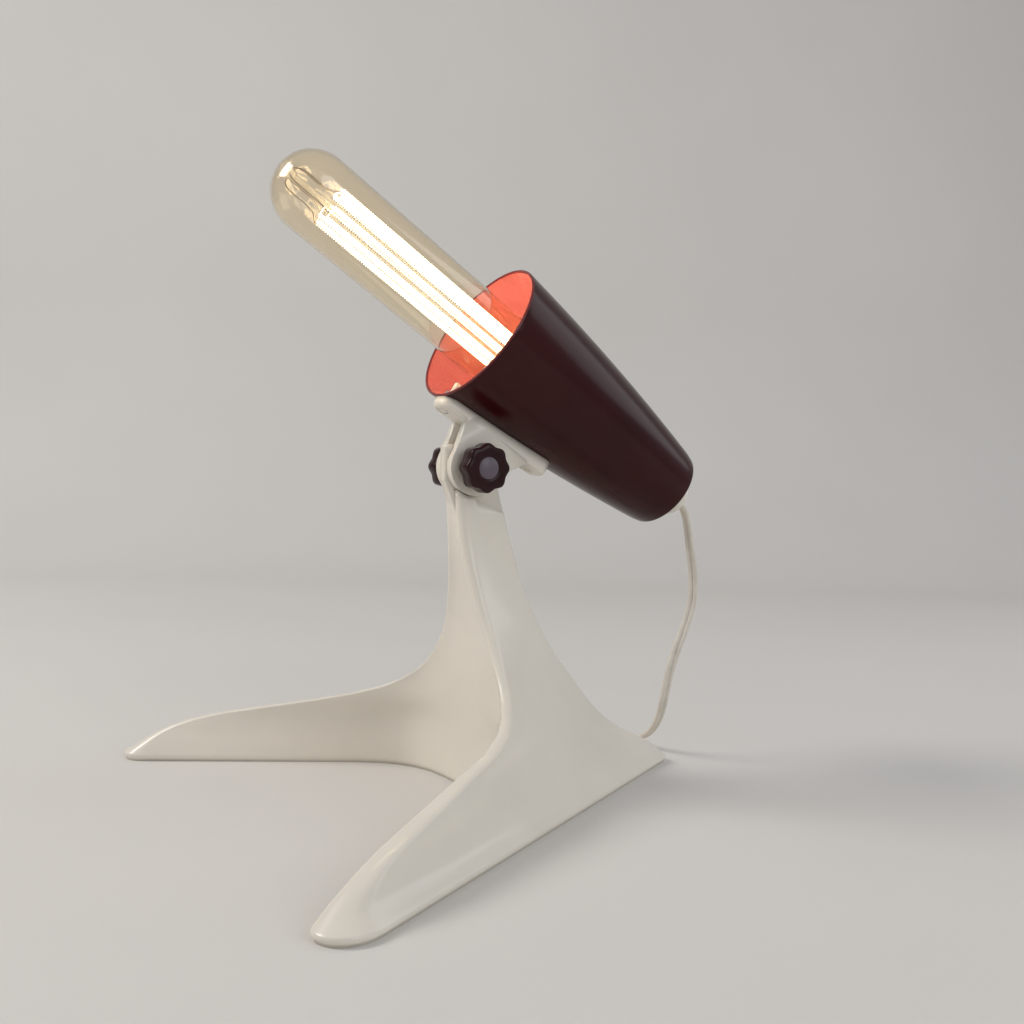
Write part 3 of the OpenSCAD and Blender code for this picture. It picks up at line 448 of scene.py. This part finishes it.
# Name, place, size, power and tint of each lamp, all aimed at one height over the middle.
LAMPS = (
    ("key", (-0.8, -1.5, 1.6), 0.9, 24.0, (1.0, 0.97, 0.93)),
    ("fill", (1.9, 0.5, 1.0), 1.2, 9.0, (0.94, 0.97, 1.0)),
    ("rim", (0.45, 1.35, 0.9), 0.9, 3.0, (0.96, 0.98, 1.0)),
)
LAMP_AIM_HEIGHT = 0.15
ROOM_TINT, ROOM_STRENGTH = (0.95, 0.96, 1.0, 1.0), 0.4


def camera_matrix(azimuth, elevation, distance, target, turns):
    """Camera at a distance round the target, then turned in its own frame by yaw, pitch and roll."""
    back = np.array([math.sin(azimuth) * math.cos(elevation), -math.cos(azimuth) * math.cos(elevation),
                     math.sin(elevation)])
    right = np.cross(-back, [0, 0, 1])
    right /= np.linalg.norm(right)
    view = np.stack([right, np.cross(right, -back), back])
    yaw, pitch, roll = turns
    own = Matrix.Rotation(roll, 3, "Z") @ Matrix.Rotation(pitch, 3, "X")
    own = own @ Matrix.Rotation(yaw, 3, "Y")
    turn = (np.array(own) @ view).T
    matrix = np.eye(4)
    matrix[:3, :3] = turn
    matrix[:3, 3] = np.array(target) + distance * back
    return Matrix(matrix.tolist())


class HEATLAMP_OT_stage(bpy.types.Operator):
    """Make the camera, the floor, the backdrop and the lights"""

    bl_idname = "heat_lamp.stage"
    bl_label = "Stage"

    def execute(self, context):
        scene = context.scene
        data = bpy.data.cameras.new("camera")
        data.sensor_width = 36.0
        data.lens = CAMERA_LENS
        data.clip_start, data.clip_end = 0.01, 50.0
        camera = bpy.data.objects.new("camera", data)
        scene.collection.objects.link(camera)
        camera.matrix_world = camera_matrix(
            math.radians(CAMERA_AZIMUTH), math.radians(CAMERA_ELEVATION), CAMERA_DISTANCE,
            (0.0, PIVOT[1], CAMERA_TARGET_HEIGHT), [math.radians(a) for a in CAMERA_YAW_PITCH_ROLL])
        scene.camera = camera
        self.make_floor(scene)
        self.make_lights(scene)
        scene.view_settings.view_transform = "Standard"
        return {"FINISHED"}

    def make_floor(self, scene):
        """A level floor that curves up into a wall behind the lamp, swept along the wall."""
        curve = arc_points((WALL_PLACE - FLOOR_BEND, FLOOR_BEND), FLOOR_BEND, -90, 0, 24)
        profile = np.concatenate([[[FLOOR_FRONT, 0.0]], curve, [[WALL_PLACE, WALL_HEIGHT]]])
        side = np.linspace(-HALF_WIDTH, HALF_WIDTH, 9)
        away = np.array([-math.sin(WALL_WAY), math.cos(WALL_WAY), 0.0])
        across = np.array([math.cos(WALL_WAY), math.sin(WALL_WAY), 0.0])
        points = (profile[:, None, :1] * away + side[None, :, None] * across
                  + profile[:, None, 1:] * np.array([0, 0, 1.0]))
        floor = grid_object("floor", points, wrap_columns=False)
        n = Nodes("pale_paper")
        n.join(n.blend_colour(n.remap(n.noise(3, 2), 0.3, 0.7, 0, 1), PAPER, PAPER_CLOUD),
               n.shader.inputs["Base Color"])
        n.set(Roughness=0.7, Specular_IOR_Level=0.25)
        floor.data.materials.append(n.material)

    def make_lights(self, scene):
        """A large key over the camera's left, a fill from the right, a rim light and a pale world."""
        for name, place, size, power, tint in LAMPS:
            data = bpy.data.lights.new(name, "AREA")
            data.shape = "SQUARE"
            data.size = size
            data.energy = power
            data.color = tint
            light = bpy.data.objects.new(name, data)
            scene.collection.objects.link(light)
            from_place = np.array(place)
            back = from_place - np.array([0, 0, LAMP_AIM_HEIGHT])
            back /= np.linalg.norm(back)
            right = np.cross([0, 0, 1], back)
            right /= np.linalg.norm(right)
            matrix = np.eye(4)
            matrix[:3, :3] = np.stack([right, np.cross(back, right), back], 1)
            matrix[:3, 3] = from_place
            light.matrix_world = Matrix(matrix.tolist())
        world = bpy.data.worlds.new("pale_room")
        world.use_nodes = True
        background = world.node_tree.nodes["Background"]
        background.inputs["Color"].default_value = ROOM_TINT
        background.inputs["Strength"].default_value = ROOM_STRENGTH
        scene.world = world


# ---- Flex ------------------------------------------------------------------------------------------
# The route repeats the CAD's, in millimetres. It meets the coil at both of the coil's own ends.
FLEX_START = [(0, 138, 180.4), (0, 146, 175.4), (0, 152.6, 171.2)]
FLEX_DROP = [
    (0, 157.2, 167.5), (0, 160, 163.8), (0, 162.1, 158.8), (0, 163.9, 151.5),
    (0, 166.2, 139.5), (0, 168.6, 127), (0, 169.9, 115.5), (0, 169.4, 105), (0, 166.6, 94.5),
    (0, 161.5, 82), (0, 156, 70), (-0.5, 152.5, 58.5), (-2, 151.2, 47.5), (-5, 151.5, 36.5),
    (-10, 152.7, 26), (-18, 154.3, 16.5), (-29, 155.6, 9), (-43, 155.6, 4.9), (-58, 154, 3.9),
    (-71, 152.2, 3.9),
]
FLEX_LEAD = [(-131.7, 93.9, 10.3), (-132.5, 84.9, 9.2), (-133.7, 76.6, 7.9),
             (-135.3, 68.9, 7.1), (-137.5, 62, 6.85)]
COIL_CENTRE = (-90.0, 110.0)
COIL_RADIUS, COIL_PITCH, COIL_TURNS = 41.5, 3.7, 6.25
COIL_LOW, COIL_STEP = 3.9, 6.9
FLEX_WIDTH, FLEX_THICKNESS = 6.4, 3.2
FLEX_EXIT = -0.1425  # where the flex leaves the rear cap, in metres behind the pivot along the shade


def ease(u):
    """0 below 0, 1 above 1, and a smooth step between."""
    u = np.clip(u, 0, 1)
    return u * u * (3 - 2 * u)


def coil_line(count):
    """The coil: in at a steady pitch, one pitch further in as it climbs, and out again on top."""
    turn = np.linspace(0, COIL_TURNS, count)
    inward = (COIL_TURNS - 1) / 2
    dip = ease(4 * np.minimum(turn - inward, inward + 1 - turn))
    middle = COIL_RADIUS - COIL_PITCH * (inward + dip)
    outward = COIL_RADIUS - COIL_PITCH * (COIL_TURNS - turn)
    radius = np.where(turn < inward, COIL_RADIUS - COIL_PITCH * turn,
                      np.where(turn > inward + 1, outward, middle))
    angle = math.radians(90) + 2 * math.pi * turn
    height = COIL_LOW + COIL_STEP * ease(2 * (turn - inward) - 0.5)
    return np.stack(
        [COIL_CENTRE[0] + radius * np.cos(angle), COIL_CENTRE[1] + radius * np.sin(angle), height], 1)


def curve_through(points, step):
    """A smooth curve through the points: cubic pieces, with slopes set by their neighbours."""
    points = np.asarray(points, float)
    chord = np.linalg.norm(np.diff(points, axis=0), axis=1)
    place = np.concatenate([[0], np.cumsum(chord)])
    slope = np.gradient(points, place, axis=0)
    at = np.linspace(0, place[-1], max(2, int(place[-1] / step)) + 1)
    i = np.clip(np.searchsorted(place, at, side="right") - 1, 0, len(chord) - 1)
    h = chord[i][:, None]
    u = ((at - place[i]) / chord[i])[:, None]
    return ((1 + 2 * u) * (1 - u) ** 2 * points[i] + u * (1 - u) ** 2 * h * slope[i]
            + u * u * (3 - 2 * u) * points[i + 1] + u * u * (u - 1) * h * slope[i + 1])


def flex_line():
    """The whole centre line of the flex, from inside the nipple to the plug."""
    turns = coil_line(int(COIL_TURNS * 72) + 1)
    start = turns[0] + [FLEX_WIDTH, 0, 0]
    end = turns[-1] - [0, FLEX_WIDTH, 0]
    hand = curve_through(FLEX_START + FLEX_DROP + [tuple(start), tuple(turns[0])], 2.0)
    tail = curve_through([tuple(turns[-1]), tuple(end)] + FLEX_LEAD, 2.0)
    return np.concatenate([hand, turns[1:], tail[1:]]) * MM, len(hand)


def flex_section(count=24):
    """Two round cores side by side, joined by a thin web: each core is an arc from web to web."""
    core = 0.25 * FLEX_WIDTH
    web = math.radians(158)
    turn = np.linspace(-web, web, count // 2)
    x = np.concatenate([core + core * np.cos(turn), -core - core * np.cos(turn)])
    y = np.concatenate([np.sin(turn), -np.sin(turn)]) * 0.5 * FLEX_THICKNESS
    return x * MM, y * MM


def flex_sides(line, hand_count):
    """The wide way of the flex: across at the cap, turning to face along the lamp, then upright."""
    share = np.clip(np.linspace(0, (len(line) - 1) / (hand_count - 1), len(line)), 0, 1)
    twist = np.radians(90 * np.clip((share - 0.1) / 0.55, 0, 1))
    up = ease((share - 0.76) / 0.22)[:, None]
    level = np.stack([np.cos(twist), np.sin(twist), 0 * twist], 1)
    wide = level * (1 - up) + up * np.array([0, 0.02, 1.0])
    along = np.gradient(line, axis=0)
    along /= np.linalg.norm(along, axis=1)[:, None]
    wide = wide - along * np.sum(wide * along, 1)[:, None]
    wide /= np.linalg.norm(wide, axis=1)[:, None]
    return wide, np.cross(along, wide)


class HEATLAMP_OT_flex(bpy.types.Operator):
    """Make the twin flex from the rear cap to the plug, with its stored coil"""

    bl_idname = "heat_lamp.flex"
    bl_label = "Flex"

    def execute(self, context):
        line, hand_count = flex_line()
        wide, thick = flex_sides(line, hand_count)
        x, y = flex_section()
        points = line[:, None] + x[None, :, None] * wide[:, None] + y[None, :, None] * thick[:, None]
        flex = grid_object("flex", points, caps=True, smooth_angle=math.radians(60))
        paint(flex, "flex")
        exit_point = head_point(FLEX_EXIT, settings().shade.axis_height)
        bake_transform(flex)
        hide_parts("cord_end", "cord_drop", "cord_coil", "cord_lead")
        pieces = [self.dress("plug_body", "plug", "plug_plastic"),
                  self.dress("plug_pins", "steel", "zinc_steel"),
                  self.dress("cord_tie", "tie", "tie_plastic")]
        return {"FINISHED"}

    def dress(self, node, finish, slot):
        piece = smooth_copy(node, node + "_moulding")
        paint(piece, finish)
        return piece


# ---- Shade -----------------------------------------------------------------------------------------


def shade_radius(s):
    """Outer radius at a place: it falls to the tail partly in proportion and partly as the square."""
    sizes = settings().shade
    u = (sizes.mouth - s) / (sizes.mouth + sizes.tail)
    fall = sizes.mouth_radius - sizes.tail_radius
    return sizes.mouth_radius - fall * (sizes.bow * u + (1 - sizes.bow) * u * u)


class HEATLAMP_OT_shade(bpy.types.Operator):
    """Make the turned shade, dark outside and coral inside"""

    bl_idname = "heat_lamp.shade"
    bl_label = "Shade"

    def execute(self, context):
        sizes = settings().shade
        edge, wall, lip = sizes.tail_edge, sizes.wall, sizes.wall / 2
        s = np.linspace(-sizes.tail + edge, sizes.mouth - lip, 48)
        outside = np.stack([shade_radius(s), s], 1)
        tail = arc_points((sizes.tail_radius - edge, -sizes.tail + edge), edge, -90, -8, 9)
        rim = arc_points((shade_radius(sizes.mouth - lip) - lip, sizes.mouth - lip), lip, 15, 165, 9)
        back = np.linspace(sizes.mouth - lip, -sizes.tail + 2.4 * wall, 48)
        inside = np.stack([shade_radius(back) - wall, back], 1)
        fillet_radius = 1.4 * wall
        fillet = arc_points(
            (shade_radius(back[-1]) - wall - fillet_radius, back[-1]), fillet_radius, 0, -90, 8)
        profile = np.concatenate([
            [[sizes.bore_radius, -sizes.tail]], tail, outside[1:], rim, inside, fillet[1:],
            [[sizes.bore_radius, -sizes.tail + wall]]])
        shade = grid_object("shade_shell", turned(profile, 192), wrap_rows=True)
        paint(shade, "maroon", "coral", "rim")
        self.colour_faces(shade)
        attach(shade, "head")
        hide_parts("shade")
        return {"FINISHED"}

    def colour_faces(self, shade):
        """Faces that look inwards are coral, and the rounded rim is a darker red."""
        sizes = settings().shade
        mesh = shade.data
        centres = np.zeros(len(mesh.polygons) * 3)
        normals = np.zeros(len(mesh.polygons) * 3)
        mesh.polygons.foreach_get("center", centres)
        mesh.polygons.foreach_get("normal", normals)
        centres, normals = centres.reshape(-1, 3) - PIVOT, normals.reshape(-1, 3)
        along = np.array([0.0, -math.cos(sizes.tilt), math.sin(sizes.tilt)])
        up = np.array([0.0, math.sin(sizes.tilt), math.cos(sizes.tilt)])
        s = centres @ along
        spoke = centres - s[:, None] * along - sizes.axis_height * up
        outward = np.sum(spoke * normals, 1) / np.linalg.norm(spoke, axis=1)
        index = np.where(outward < -0.05, 1, 0)
        index[(s > -sizes.tail + sizes.wall * 0.5) & (normals @ along > 0.5) & (s < 0)] = 1
        index[s > sizes.mouth - sizes.wall * 0.62] = 2
        mesh.polygons.foreach_set("material_index", index.astype(np.int32))


# ---- Bulb ------------------------------------------------------------------------------------------
STRAND_RADIUS, STRAND_PITCH, STRAND_WIRE = 1.1 * MM, 1.5 * MM, 0.33 * MM
BEND_WIRE, SUPPORT_WIRE = 0.3 * MM, 0.35 * MM


def glass_profile(inset):
    """Half outline of the bulb, neck to tip: a raised-cosine shoulder, a straight tube and a dome."""
    bulb = settings().bulb
    radius, neck = bulb.radius - inset, bulb.neck_radius - inset
    u = np.linspace(0, 1, 22)
    widening = neck + (radius - neck) * (1 - np.cos(np.pi * u)) / 2
    shoulder = np.stack([widening, -bulb.neck + bulb.shoulder * u], 1)
    straight = np.linspace(-bulb.neck + bulb.shoulder, bulb.tip - bulb.radius, 20)
    tube = np.stack([np.full(20, radius), straight], 1)
    dome = arc_points((0, bulb.tip - bulb.radius), radius, 0, 89.2, 28)
    foot = [[neck, -bulb.neck - 6 * MM]]
    return np.concatenate([foot, shoulder, tube[1:], dome[1:]])


def tube_along(line, radius, sides=8):
    """A round tube along a line, with its frame carried from ring to ring by the line's own heading."""
    along = np.gradient(line, axis=0)
    along /= np.linalg.norm(along, axis=1)[:, None]
    helper = np.array([0.31, 0.57, 0.76])
    first = np.cross(along, helper)
    first /= np.linalg.norm(first, axis=1)[:, None]
    second = np.cross(along, first)
    angle = np.linspace(0, 2 * math.pi, sides, endpoint=False)
    return line[:, None] + radius * (np.cos(angle)[None, :, None] * first[:, None]
                                     + np.sin(angle)[None, :, None] * second[:, None])


def joined(name, grids):
    """One object of several closed tubes."""
    points, faces, first = [], [], 0
    for grid in grids:
        rows, columns = grid.shape[:2]
        points.append(grid.reshape(-1, 3))
        faces += (grid_faces(rows, columns, False, True) + first).tolist()
        faces += [[first + k for k in range(columns)][::-1],
                  [first + (rows - 1) * columns + k for k in range(columns)]]
        first += rows * columns
    return mesh_object(name, np.concatenate(points), faces)


def coiled(start, end, radius, pitch, per_turn=10):
    """A helix between two points: it goes round its line at a fixed radius, one turn each pitch."""
    way = end - start
    span = np.linalg.norm(way)
    turns = span / pitch
    t = np.linspace(0, 1, int(turns * per_turn) + 2)
    axis = way / span
    first = np.cross(axis, [1.0, 0.2, 0.1])
    first /= np.linalg.norm(first)
    second = np.cross(axis, first)
    angle = 2 * math.pi * turns * t
    return (start + t[:, None] * way
            + radius * (np.cos(angle)[:, None] * first + np.sin(angle)[:, None] * second))


class HEATLAMP_OT_bulb(bpy.types.Operator):
    """Make the glass tube, its glowing coiled filament and the wires that hold it"""

    bl_idname = "heat_lamp.bulb"
    bl_label = "Bulb"

    def execute(self, context):
        bulb = settings().bulb
        outer, inner = glass_profile(0.0), glass_profile(bulb.wall)
        walls = turned(np.concatenate([outer, inner[::-1]]), 160)
        glass = grid_object("bulb_tube", walls, wrap_rows=True)
        self.put(glass, "glass", "bulb_glass", "bulb_glass")
        self.make_filament(bulb)
        self.make_supports(bulb)
        for node, finish, slot in (("bulb_stem", "stem", "stem_glass"),
                                   ("bulb_cap", "bulb_metal", "bulb_metal"),
                                   ("bulb_insulator", "black", "black_plastic"),
                                   ("bulb_contact", "bulb_metal", "bulb_metal")):
            piece = smooth_copy(node, node + "_finished")
            paint(piece, finish)
        return {"FINISHED"}

    def put(self, piece, finish, slot, *nodes):
        paint(piece, finish)
        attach(piece, "head")
        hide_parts(*nodes)

    def cage(self, bulb, i, s):
        """Corner i of the cage at place s."""
        angle = 2 * math.pi * (i + 0.5) / bulb.strands
        return head_point(s, settings().shade.axis_height + bulb.cage_radius * math.sin(angle),
                          bulb.cage_radius * math.cos(angle))

    def make_filament(self, bulb):
        """Coiled strands up and down the cage, joined by plain bends over the hooks."""
        grids = []
        for i in range(bulb.strands):
            foot, tip = self.cage(bulb, i, -bulb.cage_foot), self.cage(bulb, i, bulb.cage_tip)
            grids.append(tube_along(coiled(foot, tip, STRAND_RADIUS, STRAND_PITCH), STRAND_WIRE, 5))
            if i < bulb.strands - 1:
                s = bulb.cage_tip if i % 2 == 0 else -bulb.cage_foot
                line = np.linspace(self.cage(bulb, i, s), self.cage(bulb, i + 1, s), 6)
                grids.append(tube_along(line, BEND_WIRE, 6))
        self.put(joined("filament_strands", grids), "filament", "filament_wire", "bulb_filament")

    def make_supports(self, bulb):
        """Wires out from the beads: over the far bends, under the near bends, and two leads."""
        bead, tip, foot = bulb.bead / MM, bulb.cage_tip / MM, bulb.cage_foot / MM
        far, near, spider = bulb.far_bead / MM, bulb.near_bead / MM, bulb.spider / MM
        cage = bulb.cage_radius / MM
        bend = cage * math.cos(math.pi / bulb.strands)
        over = bend + 0.75
        step = 2 * math.pi / bulb.strands
        far_route = [(bead, far - 1), (5.2, far - 1.5), (6.7, far - 4), (spider, far - 9),
                     (spider, tip + 10), (8.6, tip + 4.5), (over, tip + 1.6), (over, tip - 0.3),
                     (bend + 0.4, tip - 0.75),
                     (bend - 0.3, tip - 0.75)]
        near_route = [(bead, -near), (5, 0.4 - near), (7.5, 2.4 - near), (9.6, -foot - 7),
                      (over, -foot - 1.6), (over, 0.3 - foot), (bend + 0.4, 0.75 - foot),
                      (bend - 0.3, 0.75 - foot)]
        lead_route = [(bead, -near), (5, 0.4 - near), (7.7, 2.4 - near), (cage - 0.6, -foot - 7),
                      (cage, -foot - 3.5), (cage, -foot - 0.2)]
        grids = [self.wire(far_route, i * step) for i in range(1, bulb.strands, 2)]
        grids += [self.wire(near_route, i * step) for i in range(2, bulb.strands - 1, 2)]
        grids += [self.wire(lead_route, (i + 0.5) * step) for i in (0, bulb.strands - 1)]
        self.put(joined("support_wires", grids), "wire", "support_wire", "bulb_supports")

    def wire(self, route, angle):
        """A round wire through points of radius and place, in one plane through the axis."""
        r, s = (curve_through(route, 0.8) * MM).T
        line = head_point(s, settings().shade.axis_height + r * math.sin(angle), r * math.cos(angle))
        return tube_along(line, SUPPORT_WIRE, 8)


# ---- Knobs -----------------------------------------------------------------------------------------


class HEATLAMP_OT_knobs(bpy.types.Operator):
    """Make the two lobed knobs, their discs, bushes and washers"""

    bl_idname = "heat_lamp.knobs"
    bl_label = "Knobs"

    def execute(self, context):
        for side, word in ((1, "right"), (-1, "left")):
            knob = grid_object(f"knob_{word}_lobed", self.knob_points(side), wrap_rows=True,
                               smooth_angle=math.radians(50))
            paint(knob, "knob")
            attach(knob, f"knob_{word}")
            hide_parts(f"knob_{word}")
            for part, finish in (("knob_disc", "disc"), ("knob_bush", "brass"),
                                 ("knob_washer", "steel"), ("friction_washer", "fibre")):
                node = f"{part}_{word}"
                paint(smooth_copy(node, node + "_finished"), finish)
        return {"FINISHED"}

    def knob_points(self, side):
        """Lobed turned shape: radius r less depth times weight times (1 - cos(lobes * angle)) / 2.

        Each row holds the radius, the distance out from the inner face and the weight.
        """
        k = settings().knob
        t, big = k.thickness, k.radius
        bush = 5.0 * MM
        rows = [
            (bush, 0, 0), (10.1 * MM, 0, 0), (10.5 * MM, 0.3 * MM, 0), (10.9 * MM, 2.4 * MM, 0),
            (11.3 * MM, 3.0 * MM, 0.3), (12.6 * MM, 3.2 * MM, 0.8), (13.7 * MM, 3.6 * MM, 1),
            (big, 4.4 * MM, 1), (big, 12.4 * MM, 1), (14.05 * MM, 12.9 * MM, 1),
            (13.75 * MM, 13.3 * MM, 0.97), (13.3 * MM, 13.6 * MM, 0.92), (12.7 * MM, 13.85 * MM, 0.82),
            (11.9 * MM, t, 0.68), (10.6 * MM, t, 0.4), (9.2 * MM, t, 0.12), (7.8 * MM, t, 0),
            (k.disc_radius + 0.2 * MM, t, 0), (k.disc_radius, t - 0.2 * MM, 0),
            (k.disc_radius, t - 1.6 * MM, 0), (3.5 * MM, t - 1.7 * MM, 0),
            (3.5 * MM, 9.0 * MM, 0), (bush, 9.0 * MM, 0),
        ]
        rows = np.array(rows)
        angle = np.linspace(0, 2 * math.pi, 160, endpoint=False)
        hollow = k.lobe_depth * rows[:, 2][:, None] * (1 - np.cos(k.lobes * angle)) / 2
        r = rows[:, 0][:, None] - hollow
        out = k.inner_face + rows[:, 1][:, None] + 0 * angle
        return PIVOT + np.stack([side * out, r * np.cos(angle), r * np.sin(angle)], -1)


# ---- Mouldings and small parts ---------------------------------------------------------------------


class HEATLAMP_OT_mouldings(bpy.types.Operator):
    """Finish the stand, the saddle, the rear cap and the fixings"""

    bl_idname = "heat_lamp.mouldings"
    bl_label = "Mouldings"

    def execute(self, context):
        for node in ("stand", "saddle", "rear_cap"):
            piece = smooth_copy(node, node + "_moulding", math.radians(38))
            paint(piece, "ivory")
        for node, finish in (("pivot_stud", "steel"), ("saddle_screws", "ivory"),
                             ("saddle_nuts", "steel"), ("nipple", "brass"), ("nipple_nut", "steel")):
            paint(smooth_copy(node, node + "_finished"), finish)
        return {"FINISHED"}


class HEATLAMP_OT_holder(bpy.types.Operator):
    """Finish the lampholder"""

    bl_idname = "heat_lamp.holder"
    bl_label = "Lampholder"

    def execute(self, context):
        for node, finish in (("holder_dome", "black"), ("holder_barrel", "black"),
                             ("holder_core", "ceramic"), ("holder_shell", "brass"),
                             ("holder_contact", "brass"),
                             ("holder_terminals", "brass"), ("holder_leads", "sleeve")):
            paint(smooth_copy(node, node + "_finished"), finish)
        return {"FINISHED"}


# ---- Add-on ----------------------------------------------------------------------------------------


class HEATLAMP_PT_panel(bpy.types.Panel):
    """The lamp's settings and pieces"""

    bl_idname = "HEATLAMP_PT_panel"
    bl_label = "Heat Lamp"
    bl_space_type = "VIEW_3D"
    bl_region_type = "UI"
    bl_category = "Heat Lamp"

    def draw(self, context):
        lamp = context.scene.heat_lamp
        for title, group in (("Shade", lamp.shade), ("Bulb", lamp.bulb), ("Knobs", lamp.knob),
                             ("Finishes", lamp.finish)):
            box = self.layout.box()
            box.label(text=title)
            for key in group.__annotations__:
                box.prop(group, key)
        for operator in OPERATORS:
            self.layout.operator(operator.bl_idname)


OPERATORS = (
    HEATLAMP_OT_stage,
    HEATLAMP_OT_flex,
    HEATLAMP_OT_mouldings,
    HEATLAMP_OT_shade,
    HEATLAMP_OT_holder,
    HEATLAMP_OT_bulb,
    HEATLAMP_OT_knobs,
)
CLASSES = (ShadeSizes, BulbSizes, KnobSizes, Finishes, LampSettings, *OPERATORS, HEATLAMP_PT_panel)


def register():
    """Adds the classes and the scene's settings."""
    for cls in CLASSES:
        bpy.utils.register_class(cls)
    bpy.types.Scene.heat_lamp = PointerProperty(type=LampSettings)


def unregister():
    """Takes them away again."""
    del bpy.types.Scene.heat_lamp
    for cls in reversed(CLASSES):
        bpy.utils.unregister_class(cls)


def main():
    """Builds the whole lamp."""
    register()
    make_materials()
    bpy.ops.heat_lamp.stage()
    bpy.ops.heat_lamp.flex()
    bpy.ops.heat_lamp.mouldings()
    bpy.ops.heat_lamp.shade()
    bpy.ops.heat_lamp.holder()
    bpy.ops.heat_lamp.bulb()
    bpy.ops.heat_lamp.knobs()


if __name__ == "__main__":
    main()
